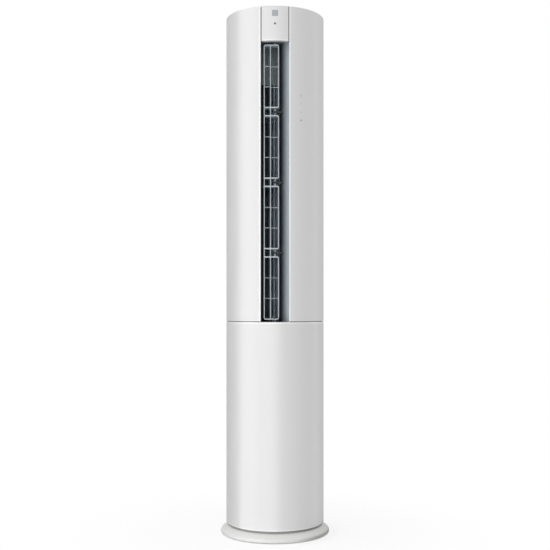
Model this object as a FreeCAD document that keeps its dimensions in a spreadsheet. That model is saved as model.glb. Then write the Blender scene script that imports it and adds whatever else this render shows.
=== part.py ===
import FreeCAD, Part
import math
import os
import Sketcher

# Floor standing air conditioner: a round cabinet on a flared plinth, with a tall air outlet in front.
# The front looks along -Y, +X is to the right, +Z is up and the floor is z = 0. Lengths are in mm.

SIZES = [
    ("total_height", 1850, "height of the cabinet"),
    ("body_radius", 176, "outer radius of the cabinet"),
    ("panel_wall", 3.5, "thickness of the cabinet panels"),
    ("fit_gap", 0.3, "clearance round a piece that sits inside another"),
    ("running_gap", 0.1, "radial clearance of a turning pin in its bore"),
    ("joint_gap", 1.8, "visible gap between neighbouring panels"),
    ("seam_height", 761.5, "height of the seam between the lower and upper cabinet"),
    ("seam_gap", 2, "width of that seam"),
    ("edge_bevel", 1.2, "bevel of the panel edges"),
    ("base_flare", 19.5, "distance by which the plinth stands out from the cabinet"),
    ("base_height", 39, "height of the lower panels' bottom edge"),
    ("plinth_wall", 3, "thickness of the plinth shell"),
    ("plinth_lift", 2.5, "gap between the plinth and the floor"),
    ("plinth_rim", 7, "height up to which the plinth's side is upright"),
    ("plinth_shoulder", 2, "distance from the panel edge down to the flare"),
    ("plinth_groove", 5.5, "depth of the groove under the panels"),
    ("flare_angle", 55, "slope of the plinth's side, from upright"),
    ("hollow_share", 0.4, "share of the flare's bends that is hollow"),
    ("flare_steps", 4, "number of facets in each bend of the plinth"),
    ("neck_overlap", 14, "length of the plinth neck inside the panels"),
    ("flange_thickness", 3, "thickness of the plinth's fixing flange"),
    ("flange_width", 14, "width of the plinth's fixing flange on the base plate"),
    ("foot_radius", 14, "radius of a rubber foot"),
    ("foot_height", 5, "height of a rubber foot"),
    ("foot_inset", 37, "distance of the feet from the base plate's edge"),
    ("foot_count", 8, "number of feet"),
    ("plate_clearance", 10.5, "gap between the base plate and the plinth's side"),
    ("plate_thickness", 3, "thickness of the base plate"),
    ("anchor_inset", 64, "distance of the anchor holes from the base plate's edge"),
    ("anchor_radius", 5.5, "radius of an anchor hole"),
    ("lower_split", 100, "angle from the front to the lower panels' joint"),
    ("outlet_height", 150, "height of the pipe outlet's centre"),
    ("outlet_radius", 32, "inner radius of the pipe grommet"),
    ("grommet_wall", 4, "thickness of the grommets"),
    ("grommet_length", 20, "length of the grommets"),
    ("grommet_stand", 3, "length of a grommet outside the panel"),
    ("gland_height", 82, "height of the cord gland's centre"),
    ("gland_radius", 5, "inner radius of the cord gland"),
    ("column_width", 36, "width of a column"),
    ("column_depth", 22, "depth of a column"),
    ("column_wall", 2, "sheet thickness of a column"),
    ("column_inset", 33.5, "distance of the columns from the panels"),
    ("column_front_angle", 54, "angle of the front columns from the front"),
    ("column_rear_angle", 138.5, "angle of the rear columns from the front"),
    ("floor_drop", 3.5, "distance of the chassis floor below the seam"),
    ("floor_thickness", 6, "thickness of the chassis floor"),
    ("rim_height", 17, "height of the rim on the chassis floor"),
    ("rim_wall", 3, "thickness of that rim"),
    ("ceiling_rise", 3.5, "distance of the chassis ceiling above the cap's lower edge"),
    ("ceiling_thickness", 5, "thickness of the chassis ceiling"),
    ("slot_width", 98.4, "width of the air outlet"),
    ("cap_height", 120.5, "height of the cap above the air outlet"),
    ("flange_depth", 12, "depth of the panel edges turned in beside the air outlet"),
    ("rear_inset", 32, "distance of the intake grille's edges from the cabinet's widest place"),
    ("cap_lip", 14, "depth of the cap's lower edge"),
    ("window_side", 20, "side of the square status window"),
    ("window_drop", 25, "distance of the status window's centre below the top"),
    ("window_depth", 1.6, "thickness of the status window"),
    ("lens_drop", 61, "distance of the receiver lens below the top"),
    ("lens_radius", 2.6, "radius of the receiver lens"),
    ("lens_length", 9, "length of the receiver lens"),
    ("board_thickness", 1.6, "thickness of a circuit board"),
    ("receiver_width", 56, "width of the receiver board"),
    ("receiver_height", 58, "height of the receiver board"),
    ("touch_width", 30, "width of the touch board"),
    ("touch_height", 130, "height of the touch board"),
    ("touch_drop", 347, "distance of the touch board's centre below the top"),
    ("touch_angle", 31, "angle of the touch keys from the front"),
    ("cover_thickness", 4, "thickness of the top cover"),
    ("cover_skirt", 16, "depth of the top cover's skirt"),
    ("cover_dish", 3, "depth of the shallow dish in the top cover"),
    ("throat_x", 18, "place of the outlet's right wall at the throat, from the middle"),
    ("throat_run", 60, "depth of the flared part of the outlet"),
    ("flare_radius", 72.25, "radius of the flared right wall"),
    ("duct_wall", 3, "thickness of the duct walls"),
    ("tongue_x", 23, "place of the tongue beside the fan, from the middle"),
    ("tongue_run", 28, "distance of the tongue behind the throat"),
    ("duct_inset", 7, "distance of the duct walls from the evaporator's inner face"),
    ("duct_end_y", 4, "place where the duct walls meet the evaporator, towards the back"),
    ("volute_x", 72, "widest place of the left wall, from the fan's axis"),
    ("volute_y", 31, "widest place of the left wall, from the fan's axis towards the front"),
    ("volute_radius", 72, "radius of the left wall round the fan"),
    ("cutoff_x", 44, "end of the left wall round the fan, from the fan's axis"),
    ("cutoff_y", 49, "end of the left wall round the fan, from the fan's axis towards the back"),
    ("fan_x", -8, "place of the fan's axis, from the middle"),
    ("fan_set", 52, "distance of the fan's axis behind the tongue"),
    ("fan_radius", 55, "outer radius of the fan"),
    ("fan_lift", 17, "distance of the fan above the chassis floor"),
    ("fan_headroom", 28, "distance of the fan below the chassis ceiling"),
    ("fan_disc", 3, "thickness of a fan disc"),
    ("fan_sections", 4, "number of fan sections"),
    ("blade_count", 32, "number of fan blades"),
    ("blade_depth", 13, "radial depth of a fan blade"),
    ("blade_bow", 2.2, "depth of the bow in a fan blade"),
    ("blade_sheet", 1.6, "thickness of a fan blade"),
    ("blade_lean", 7, "sideways lean of a fan blade"),
    ("hub_radius", 18, "radius of the fan hub"),
    ("hub_length", 11, "length of the fan hub"),
    ("shaft_radius", 5, "radius of the fan motor's shaft"),
    ("journal_radius", 4, "radius of the fan's upper journal"),
    ("bearing_radius", 13, "outer radius of the upper bearing"),
    ("bearing_length", 10, "length of the upper bearing"),
    ("motor_radius", 54, "radius of the fan motor"),
    ("motor_length", 70, "length of the fan motor"),
    ("motor_flange", 5, "thickness of the fan motor's flange"),
    ("mount_radius", 7, "radius of a motor mount"),
    ("mount_height", 8, "height of a motor mount"),
    ("pivot_depth", 32, "depth of the louver's axis behind the outlet's edge"),
    ("louver_lift", 9.5, "distance of the louver above the chassis floor"),
    ("louver_headroom", 9.5, "distance of the louver below the chassis ceiling"),
    ("louver_left", 37.3, "distance of the left blade from the louver's axis"),
    ("louver_middle", 16, "distance of the middle blade from the louver's axis"),
    ("louver_right", 11.9, "distance of the right blade from the louver's axis"),
    ("louver_blade", 4.6, "thickness of a louver blade"),
    ("louver_depth", 30, "depth of the louver"),
    ("louver_bar", 5.6, "thickness of the bars that end a louver module"),
    ("louver_rib", 3.6, "thickness of a cross rib"),
    ("rib_depth", 7, "depth of a cross rib"),
    ("rib_inset", 2, "distance of the left ribs behind the louver's front"),
    ("rib_set_back", 10, "distance of the right ribs behind the louver's front"),
    ("louver_corner", 7, "corner radius of the louver modules"),
    ("module_gap", 23.3, "gap between louver modules"),
    ("module_count", 4, "number of louver modules"),
    ("rib_rows", 3, "number of openings over a module's height"),
    ("pin_radius", 2.5, "radius of the louver's pins"),
    ("pin_depth", 3, "depth of the lower pin in the chassis floor"),
    ("arm_width", 8, "width of a louver bracket's arm"),
    ("arm_height", 6, "height of a louver bracket's arm"),
    ("eye_radius", 5.5, "radius of a louver bracket's eye"),
    ("stepper_radius", 14, "radius of the louver motor"),
    ("stepper_height", 19, "height of the louver motor"),
    ("stepper_ear", 21, "reach of the louver motor's ears"),
    ("stepper_sheet", 1.5, "thickness of the louver motor's ears"),
    ("drive_length", 14, "length of the louver motor's shaft"),
    ("grille_slot", 5, "width of a slot in the intake grille"),
    ("grille_pitch", 2.7, "angle between the slots"),
    ("grille_slots", 33, "number of slots"),
    ("grille_margin", 46, "height left closed at the ends of the intake grille"),
    ("grille_ribs", 4, "number of rings behind the slots"),
    ("rib_height", 6, "height of a ring behind the slots"),
    ("rib_wall", 2, "thickness of a ring behind the slots"),
    ("filter_angle", 49, "half angle of the filter"),
    ("filter_wall", 3, "thickness of the filter frame"),
    ("filter_border", 12, "width of the filter frame's border"),
    ("filter_margin", 40, "distance of the filter from the grille's ends"),
    ("filter_rows", 4, "number of openings over the filter's height"),
    ("mesh_sheet", 0.6, "thickness of the filter mesh"),
    ("coil_depth", 26, "depth of the evaporator"),
    ("coil_inset", 22.5, "distance of the evaporator from the panels"),
    ("coil_angle", 80, "half angle of the evaporator"),
    ("coil_headroom", 33, "distance of the evaporator below the chassis ceiling"),
    ("coil_plate", 2, "thickness of the evaporator's end plates"),
    ("coil_lip", 2, "overhang of the evaporator's end plates"),
    ("tube_radius", 3.5, "radius of an evaporator tube"),
    ("bend_count", 7, "number of return bends"),
    ("bend_height", 13, "height of a return bend"),
    ("bend_pitch", 20, "angle between the return bends"),
    ("bend_spread", 4.4, "half angle that one return bend spans"),
    ("pan_reach", 8, "distance by which the drain pan stands out inside the evaporator"),
    ("pan_inset", 12.5, "distance of the drain pan from the panels"),
    ("pan_angle", 84, "half angle of the drain pan"),
    ("pan_height", 30, "height of the drain pan"),
    ("pan_wall", 3, "thickness of the drain pan"),
    ("pan_rib", 10, "width of a support rib in the drain pan"),
    ("hose_radius", 8, "radius of the drain hose"),
    ("hose_wall", 2, "thickness of the drain hose"),
    ("gas_radius", 6.35, "radius of the gas pipe"),
    ("liquid_radius", 3.2, "radius of the liquid pipe"),
    ("pipe_start", 75, "angle from the back at which the pipes leave the evaporator"),
    ("pipe_drop", 92, "angle from the back at which the pipes run down"),
    ("pipe_rise", 20, "height of the pipes over the end of the evaporator"),
    ("pipe_bend", 30, "size of the pipes' lower bend"),
    ("pipe_end_x", 34, "end of the pipes, from the middle"),
    ("pipe_end_inset", 48.5, "distance of the pipes' ends from the panels"),
    ("nut_radius", 13, "radius of a flare nut over its corners"),
    ("nut_length", 16, "length of a flare nut"),
    ("box_width", 150, "width of the control box"),
    ("box_height", 250, "height of the control box"),
    ("box_depth", 44, "depth of the control box"),
    ("box_bottom", 330, "height of the control box's lower side"),
    ("box_wall", 2, "thickness of the control box"),
    ("box_ear", 8, "distance by which the control box's plate stands out past the columns"),
    ("standoff_height", 6, "height of the board's standoffs"),
    ("standoff_radius", 4, "radius of the board's standoffs"),
    ("control_margin", 10, "distance of the control board from the box's sides"),
    ("terminal_width", 70, "width of the terminal block"),
    ("terminal_height", 26, "height of the terminal block"),
    ("terminal_depth", 22, "depth of the terminal block"),
    ("terminal_poles", 5, "number of poles of the terminal block"),
]

doc = FreeCAD.newDocument("air_conditioner")
sheet = doc.addObject("Spreadsheet::Sheet", "Sizes")
for row, (alias, number, meaning) in enumerate(SIZES, start=1):
    sheet.set(f"A{row}", meaning)
    sheet.set(f"B{row}", str(number))
    sheet.setAlias(f"B{row}", alias)
doc.recompute()


class Size:
    """A number together with the spreadsheet expression that gives it."""

    def __init__(self, value, text):
        self.value = float(value)
        self.text = text

    def __add__(self, other):
        other = as_size(other)
        return Size(self.value + other.value, f"({self.text} + {other.text})")

    def __radd__(self, other):
        return as_size(other) + self

    def __sub__(self, other):
        other = as_size(other)
        return Size(self.value - other.value, f"({self.text} - {other.text})")

    def __rsub__(self, other):
        return as_size(other) - self

    def __mul__(self, other):
        other = as_size(other)
        return Size(self.value * other.value, f"({self.text} * {other.text})")

    def __rmul__(self, other):
        return as_size(other) * self

    def __truediv__(self, other):
        other = as_size(other)
        return Size(self.value / other.value, f"({self.text} / {other.text})")

    def __neg__(self):
        return Size(-self.value, f"(0 - {self.text})")


class Dimensions:
    """The driving dimensions, each under the name of its cell."""

    def __init__(self):
        for alias, number, meaning in SIZES:
            setattr(self, alias, Size(sheet.get(alias), f"Sizes.{alias}"))


def as_size(number):
    """Wraps a plain number, so that it can stand in an expression."""
    if isinstance(number, Size):
        return number
    return Size(number, f"({number:.6f})")


def root(size):
    """Square root of a size."""
    return Size(math.sqrt(size.value), f"sqrt({size.text})")


def sine(angle):
    """Sine of an angle in degrees."""
    angle = as_size(angle)
    return Size(math.sin(math.radians(angle.value)), f"sin({angle.text})")


def cosine(angle):
    """Cosine of an angle in degrees."""
    angle = as_size(angle)
    return Size(math.cos(math.radians(angle.value)), f"cos({angle.text})")


def arctangent(size):
    """Angle in degrees whose tangent is a size."""
    return Size(math.degrees(math.atan(size.value)), f"(atan({size.text}) / 1 deg)")


def bind(item, **sizes):
    """Binds properties of a document object to the sheet; an underscore pair stands for a dot."""
    for name, size in sizes.items():
        item.setExpression(name.replace("__", "."), as_size(size).text)


def place(item, x=0, y=0, z=0):
    """Binds where an object stands."""
    bind(item, Placement__Base__x=x, Placement__Base__y=y, Placement__Base__z=z)
    item.Placement.Base = FreeCAD.Vector(as_size(x).value, as_size(y).value, as_size(z).value)
    return item


class Arc:
    """Arc edge of an outline: its radius, which way it turns, and whether it is over 180 degrees."""

    def __init__(self, radius, turn, wide=False):
        self.radius = as_size(radius)
        self.turn = turn
        self.wide = wide


def arc_edge(first, last, arc):
    """Draws the arc between two points of an outline."""
    middle = (first + last) * 0.5
    chord = last - first
    rise = math.sqrt(max(arc.radius.value ** 2 - chord.Length ** 2 / 4, 0))
    side = FreeCAD.Vector(-chord.y, chord.x, 0).normalize()
    lean = -arc.turn if arc.wide else arc.turn
    centre = middle + side * rise * lean
    begin, end = (first, last) if arc.turn > 0 else (last, first)
    angles = [math.atan2(point.y - centre.y, point.x - centre.x) for point in (begin, end)]
    return Part.ArcOfCircle(Part.Circle(centre, FreeCAD.Vector(0, 0, 1), arc.radius.value), *angles)


def draw(sketch, corners, arcs=None, closed=True):
    """Draws lines and arcs through corners given as pairs of sizes, and binds every corner to the sheet."""
    arcs = arcs or {}
    corners = [(as_size(x), as_size(y)) for x, y in corners]
    points = [FreeCAD.Vector(x.value, y.value, 0) for x, y in corners]
    start = sketch.GeometryCount
    edge_count = len(corners) if closed else len(corners) - 1
    edges = []
    for index in range(edge_count):
        following = points[(index + 1) % len(points)]
        if index in arcs:
            edges.append(arc_edge(points[index], following, arcs[index]))
        else:
            edges.append(Part.LineSegment(points[index], following))
    sketch.addGeometry(edges)
    begins = [2 if index in arcs and arcs[index].turn < 0 else 1 for index in range(edge_count)]
    joints = []
    for index in range(edge_count if closed else edge_count - 1):
        following = (index + 1) % edge_count
        joints.append(Sketcher.Constraint(
            "Coincident", start + index, 3 - begins[index], start + following, begins[following]))
    sketch.addConstraint(joints)
    for index, (x, y) in enumerate(corners):
        edge = min(index, edge_count - 1)
        end = begins[edge] if index < edge_count else 3 - begins[edge]
        for kind, size in (("DistanceX", x), ("DistanceY", y)):
            number = sketch.addConstraint(Sketcher.Constraint(kind, -1, 1, start + edge, end, size.value))
            sketch.setExpression(f"Constraints[{number}]", size.text)
    for index, arc in arcs.items():
        number = sketch.addConstraint(Sketcher.Constraint("Radius", start + index, arc.radius.value))
        sketch.setExpression(f"Constraints[{number}]", arc.radius.text)
    return sketch


def circle(sketch, x, y, radius):
    """Draws a circle and binds its centre and radius to the sheet."""
    x, y, radius = as_size(x), as_size(y), as_size(radius)
    centre = FreeCAD.Vector(x.value, y.value, 0)
    edge = sketch.addGeometry(Part.Circle(centre, FreeCAD.Vector(0, 0, 1), radius.value))
    for kind, size in (("DistanceX", x), ("DistanceY", y)):
        number = sketch.addConstraint(Sketcher.Constraint(kind, -1, 1, edge, 3, size.value))
        sketch.setExpression(f"Constraints[{number}]", size.text)
    number = sketch.addConstraint(Sketcher.Constraint("Radius", edge, radius.value))
    sketch.setExpression(f"Constraints[{number}]", radius.text)
    return sketch


def rectangle(sketch, left, bottom, right, top):
    """Draws an upright rectangle."""
    return draw(sketch, [(left, bottom), (right, bottom), (right, top), (left, top)])


def on_circle(radius, angle):
    """Point of a circle round the cabinet's axis, by its angle from the front towards the right."""
    return (radius * sine(angle), -radius * cosine(angle))


def ring_sector(sketch, inner, outer, first, last):
    """Draws a ring sector between two angles from the front, counted towards the right."""
    wide = as_size(last).value - as_size(first).value > 180
    corners = [on_circle(outer, first), on_circle(outer, last),
               on_circle(inner, last), on_circle(inner, first)]
    return draw(sketch, corners, {0: Arc(outer, 1, wide), 2: Arc(inner, -1, wide)})


def new_body(label):
    """Starts a body with its own label."""
    body = doc.addObject("PartDesign::Body", label)
    body.Label = label
    return body


def origin(body, role):
    """One of the body's own axes or planes."""
    return next(item for item in body.Origin.OriginFeatures if item.Role == role)


def new_sketch(body, role, lift=0):
    """Starts a sketch on one of the body's planes, moved along the plane's normal."""
    sketch = body.newObject("Sketcher::SketchObject", f"{body.Label}_sketch")
    sketch.AttachmentSupport = (origin(body, role), [""])
    sketch.MapMode = "FlatFace"
    bind(sketch, AttachmentOffset__Base__z=lift)
    return sketch


def pad(body, sketch, length):
    """Extrudes a sketch along its normal."""
    feature = body.newObject("PartDesign::Pad", f"{body.Label}_pad")
    feature.Profile = sketch
    bind(feature, Length=length)
    sketch.Visibility = False
    return feature


def pocket(body, sketch, length=None):
    """Cuts a sketch against its normal, right through where no depth is given."""
    feature = body.newObject("PartDesign::Pocket", f"{body.Label}_pocket")
    feature.Profile = sketch
    if length is None:
        feature.Type = "ThroughAll"
    else:
        bind(feature, Length=length)
    return feature


def revolve(body, sketch):
    """Turns a sketch of radius and height round the body's axis."""
    feature = body.newObject("PartDesign::Revolution", f"{body.Label}_revolution")
    feature.Profile = sketch
    feature.ReferenceAxis = (sketch, ["V_Axis"])
    feature.Angle = 360
    return feature


def repeat_round(body, features, count, angle=360):
    """Repeats features round the body's axis."""
    pattern = body.newObject("PartDesign::PolarPattern", f"{body.Label}_round")
    pattern.Originals = features
    pattern.Axis = (origin(body, "Z_Axis"), [""])
    bind(pattern, Angle=angle, Occurrences=count)
    body.Tip = pattern
    return pattern


def repeat_up(body, features, count, length):
    """Repeats features upwards over a length from the first to the last."""
    pattern = body.newObject("PartDesign::LinearPattern", f"{body.Label}_up")
    pattern.Originals = features
    pattern.Direction = (origin(body, "Z_Axis"), [""])
    bind(pattern, Length=length, Occurrences=count)
    body.Tip = pattern
    return pattern


def bevel_edges(body, feature, wanted, length, kind="PartDesign::Chamfer"):
    """Chamfers or fillets the edges that a test picks by their middle point and direction."""
    doc.recompute()
    names = []
    for index, edge in enumerate(feature.Shape.Edges, start=1):
        middle = edge.valueAt((edge.FirstParameter + edge.LastParameter) / 2)
        along = edge.tangentAt((edge.FirstParameter + edge.LastParameter) / 2)
        if wanted(middle, along):
            names.append(f"Edge{index}")
    bevel = body.newObject(kind, f"{body.Label}_bevel")
    bevel.Base = (feature, names)
    if kind == "PartDesign::Chamfer":
        bind(bevel, Size=length)
    else:
        bind(bevel, Radius=length)
    return bevel


def tube(label, points, radius):
    """Round bar along straight runs with mitred corners."""
    path = Part.makePolygon(points)
    profile = Part.Wire([Part.makeCircle(radius.value, points[0], points[1] - points[0])])
    bar = doc.addObject("Part::Feature", label)
    bar.Shape = path.makePipeShell([profile], True, False, 1)
    bar.Label = label
    return bar


def along(start, end, distance):
    """Point at a distance from one point towards another."""
    return start + (end - start).normalize() * distance


def close(first, second):
    """Whether two numbers are the same place."""
    return abs(first - second) < 0.05


def primitive(kind, label, **sizes):
    """Adds a Part primitive with bound sizes."""
    item = doc.addObject(kind, label)
    bind(item, **sizes)
    return item


def join(label, kind, items):
    """Combines objects with a Part operation under a label."""
    result = doc.addObject(kind, label)
    if kind == "Part::Compound":
        result.Links = items
    elif kind in ("Part::MultiFuse", "Part::MultiCommon"):
        result.Shapes = items
    else:
        result.Base, result.Tool = items
    result.Label = label
    return result


d = Dimensions()

inner_radius = d.body_radius - d.panel_wall
fit_radius = inner_radius - d.fit_gap
slot_half = d.slot_width / 2
base_radius = d.body_radius + d.base_flare
plate_radius = base_radius - d.plinth_wall - d.plate_clearance
flange_radius = plate_radius - d.flange_width
foot_circle = plate_radius - d.foot_inset
anchor_circle = plate_radius - d.anchor_inset
column_circle = inner_radius - d.column_inset
rear_half_width = d.body_radius - d.rear_inset
outlet_edge = root(d.body_radius * d.body_radius - slot_half * slot_half)
duct_front = outlet_edge - d.flange_depth - d.fit_gap - d.duct_wall / 2
throat_y = duct_front - d.throat_run
tongue_y = throat_y - d.tongue_run
pivot_y = outlet_edge - d.pivot_depth
fan_y = d.fan_set - tongue_y
coil_outer = inner_radius - d.coil_inset
coil_inner = coil_outer - d.coil_depth
pan_outer = inner_radius - d.pan_inset
pan_inner = coil_inner - d.pan_reach
duct_end_x = coil_inner - d.duct_inset
pipe_end_y = inner_radius - d.pipe_end_inset
lower_top = d.seam_height - d.seam_gap / 2
upper_bottom = d.seam_height + d.seam_gap / 2
cap_bottom = d.total_height - d.cap_height
plate_top = d.foot_height + d.plate_thickness
floor_top = d.seam_height - d.floor_drop
floor_bottom = floor_top - d.floor_thickness
ceiling_bottom = cap_bottom + d.ceiling_rise
ceiling_top = ceiling_bottom + d.ceiling_thickness
window_height = d.total_height - d.window_drop
lens_height = d.total_height - d.lens_drop
touch_middle = d.total_height - d.touch_drop
fan_bottom = floor_top + d.fan_lift
fan_top = ceiling_bottom - d.fan_headroom
fan_length = fan_top - fan_bottom
coil_middle = (coil_inner + coil_outer) / 2
hose_y = coil_middle
pan_top = floor_top + d.pan_height
coil_bottom = pan_top + d.coil_plate
coil_top = ceiling_bottom - d.coil_headroom - d.coil_plate
coil_height = coil_top - coil_bottom
louver_bottom = floor_top + d.louver_lift
louver_top = ceiling_bottom - d.louver_headroom
louver_pitch = (louver_top - louver_bottom + d.module_gap) / d.module_count
module_height = louver_pitch - d.module_gap
bore_radius = d.pin_radius + d.running_gap


def build_feet():
    """Eight rubber feet, a little narrower at the floor."""
    feet = []
    count = int(d.foot_count.value)
    for index in range(count):
        angle = 360.0 * (index + 0.5) / count
        foot = primitive("Part::Cone", f"foot_{index}", Radius1=d.foot_radius * 0.9, Radius2=d.foot_radius,
                         Height=d.foot_height)
        x, y = on_circle(foot_circle, angle)
        feet.append(place(foot, x, y))
    return join("rubber_feet", "Part::Compound", feet)


def build_base_plate():
    """Steel disc with four anchor holes and the drain hole."""
    body = new_body("base_plate")
    pad(body, circle(new_sketch(body, "XY_Plane", d.foot_height), 0, 0, plate_radius), d.plate_thickness)
    anchor = new_sketch(body, "XY_Plane", plate_top)
    anchor_x, anchor_y = on_circle(anchor_circle, 45)
    circle(anchor, anchor_x, anchor_y, d.anchor_radius)
    hole = pocket(body, anchor)
    repeat_round(body, [hole], 4)
    drain = new_sketch(body, "XY_Plane", plate_top)
    circle(drain, 0, hose_y, d.hose_radius + d.fit_gap)
    pocket(body, drain)
    return body


def build_plinth():
    """Flared skirt: rounded rim, S-shaped side, a groove under the panels and a neck inside them."""
    body = new_body("base_plinth")
    neck = fit_radius
    wall = d.plinth_wall
    waist = neck - d.plinth_groove
    bend_top = d.base_height - d.plinth_shoulder
    spread = base_radius - waist
    rise = bend_top - d.plinth_rim
    level, steep = sine(d.flare_angle), cosine(d.flare_angle)
    bends = (rise * level - spread * steep) / (1 - steep)
    hollow_bend = bends * d.hollow_share
    crown_bend = bends * (1 - d.hollow_share)
    neck_top = d.base_height + d.neck_overlap
    groove_top = d.base_height + d.plinth_shoulder
    edge = wall * 0.6
    shares = [step / d.flare_steps.value for step in range(int(d.flare_steps.value) + 1)]
    hollow = [(waist + hollow_bend * (1 - cosine(d.flare_angle * share)),
               bend_top - hollow_bend * sine(d.flare_angle * share)) for share in shares]
    crown = [(base_radius - crown_bend * (1 - cosine(d.flare_angle * share)),
              d.plinth_rim + crown_bend * sine(d.flare_angle * share)) for share in reversed(shares)]
    corners = [(neck, neck_top), (neck, groove_top)] + hollow + crown
    corners += [
        (base_radius, d.plinth_lift + edge),
        (base_radius - edge, d.plinth_lift),
        (base_radius - wall, d.plinth_lift),
        (base_radius - wall, d.plinth_rim),
        (waist - wall, bend_top - wall),
        (waist - wall, bend_top),
        (neck - wall, groove_top),
        (neck - wall, neck_top),
    ]
    revolve(body, draw(new_sketch(body, "XZ_Plane"), corners))
    flange = new_sketch(body, "XY_Plane", plate_top)
    circle(flange, 0, 0, base_radius - wall)
    circle(flange, 0, 0, flange_radius)
    pad(body, flange, d.flange_thickness)
    return body


def build_lower_panel(label, first, last):
    """Shell of the lower cabinet between two angles, with bevelled upper and lower edges."""
    body = new_body(label)
    sketch = new_sketch(body, "XY_Plane", d.base_height)
    ring_sector(sketch, inner_radius, d.body_radius, first, last)
    shell = pad(body, sketch, lower_top - d.base_height)
    ends = (d.base_height.value, lower_top.value)
    radius = d.body_radius.value

    def outer_edge(middle, along):
        return any(close(middle.z, end) for end in ends) and close(math.hypot(middle.x, middle.y), radius)

    bevel_edges(body, shell, outer_edge, d.edge_bevel)
    return body


def build_lower_rear_panel():
    """Rear shell of the lower cabinet with the holes for the pipes and the cord."""
    body = build_lower_panel("lower_rear_panel", d.lower_split + 0.4, 359.6 - d.lower_split)
    holes = new_sketch(body, "XZ_Plane")
    circle(holes, 0, d.outlet_height, d.outlet_radius + d.grommet_wall + d.fit_gap)
    circle(holes, 0, d.gland_height, d.gland_radius + d.grommet_wall + d.fit_gap)
    pocket(body, holes)
    return body


def build_grommet(label, height, bore):
    """Tube through the lower rear panel."""
    body = new_body(label)
    start = d.body_radius + d.grommet_stand
    sketch = new_sketch(body, "XZ_Plane", -start)
    circle(sketch, 0, height, bore + d.grommet_wall)
    circle(sketch, 0, height, bore)
    pad(body, sketch, d.grommet_length)
    return body


def build_column(label, angle):
    """Upright channel between the base plate and the chassis floor, at an angle from the front."""
    body = new_body(label)
    x, y = on_circle(column_circle, angle)
    half = d.column_width / 2
    depth = d.column_depth / 2
    wall = d.column_wall
    corners = [
        (-half, -depth),
        (half, -depth),
        (half, depth),
        (half - wall, depth),
        (half - wall, wall - depth),
        (wall - half, wall - depth),
        (wall - half, depth),
        (-half, depth),
    ]
    pad(body, draw(new_sketch(body, "XY_Plane"), corners), floor_bottom - plate_top)
    return place(body, x, y, plate_top)


def build_chassis_floor():
    """Round floor of the fan compartment with a rim that carries the upper panels."""
    body = new_body("chassis_floor")
    pad(body, circle(new_sketch(body, "XY_Plane", floor_bottom), 0, 0, fit_radius), d.floor_thickness)
    rim = new_sketch(body, "XY_Plane", floor_top)
    open_angle = d.slot_width / fit_radius * 37
    ring_sector(rim, fit_radius - d.rim_wall, fit_radius, open_angle, 360 - open_angle)
    pad(body, rim, d.rim_height)
    holes = new_sketch(body, "XY_Plane", floor_top)
    circle(holes, d.fan_x, fan_y, d.hub_radius + d.motor_flange)
    circle(holes, 0, hose_y, d.hose_radius + d.fit_gap)
    drop_x, drop_y = coil_middle * sine(d.pipe_drop), coil_middle * cosine(d.pipe_drop)
    circle(holes, drop_x, drop_y, d.gas_radius + d.fit_gap)
    circle(holes, -drop_x, drop_y, d.liquid_radius + d.fit_gap)
    pocket(body, holes)
    pivot = new_sketch(body, "XY_Plane", floor_top)
    circle(pivot, 0, -pivot_y, bore_radius)
    pocket(body, pivot, d.pin_depth + d.fit_gap)
    return body


def build_chassis_ceiling():
    """Round plate above the air outlet that carries the fan's bearing and the louver motor."""
    body = new_body("chassis_ceiling")
    pad(body, circle(new_sketch(body, "XY_Plane", ceiling_bottom), 0, 0, fit_radius), d.ceiling_thickness)
    holes = new_sketch(body, "XY_Plane", ceiling_top)
    circle(holes, d.fan_x, fan_y, d.bearing_radius)
    circle(holes, 0, -pivot_y, bore_radius)
    pocket(body, holes)
    return body


def flare_x(y):
    """Place of the flared right wall at a distance towards the front."""
    back = y - throat_y
    return d.throat_x + d.flare_radius - root(d.flare_radius * d.flare_radius - back * back)


def build_duct_wall(label, corners, arcs):
    """Upright sheet on both sides of a path, between the chassis floor and the chassis ceiling."""
    path = draw(doc.addObject("Sketcher::SketchObject", f"{label}_path"), corners, arcs, closed=False)
    band = doc.addObject("Part::Offset2D", f"{label}_band")
    band.Source = path
    band.Fill = True
    bind(band, Value=d.duct_wall / 2)
    wall = doc.addObject("Part::Extrusion", label)
    wall.Base = band
    wall.DirMode = "Normal"
    wall.Solid = True
    bind(wall, LengthFwd=ceiling_bottom - floor_top)
    wall.Label = label
    return place(wall, 0, 0, floor_top)


def build_stabiliser():
    """Right wall of the outlet: flared to the front, with the tongue beside the fan at its back."""
    corners = [
        (flare_x(duct_front), -duct_front),
        (d.throat_x, -throat_y),
        (d.tongue_x, -tongue_y),
        (duct_end_x, d.duct_end_y),
    ]
    return build_duct_wall("stabiliser_wall", corners, {0: Arc(d.flare_radius, -1)})


def build_volute():
    """Left wall of the outlet, which runs on round the fan."""
    corners = [
        (-slot_half - d.duct_wall / 2, -duct_front),
        (d.fan_x - d.volute_x, fan_y - d.volute_y),
        (d.fan_x - d.cutoff_x, fan_y + d.cutoff_y),
        (-duct_end_x, d.duct_end_y),
    ]
    return build_duct_wall("volute_wall", corners, {1: Arc(d.volute_radius, -1)})


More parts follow.
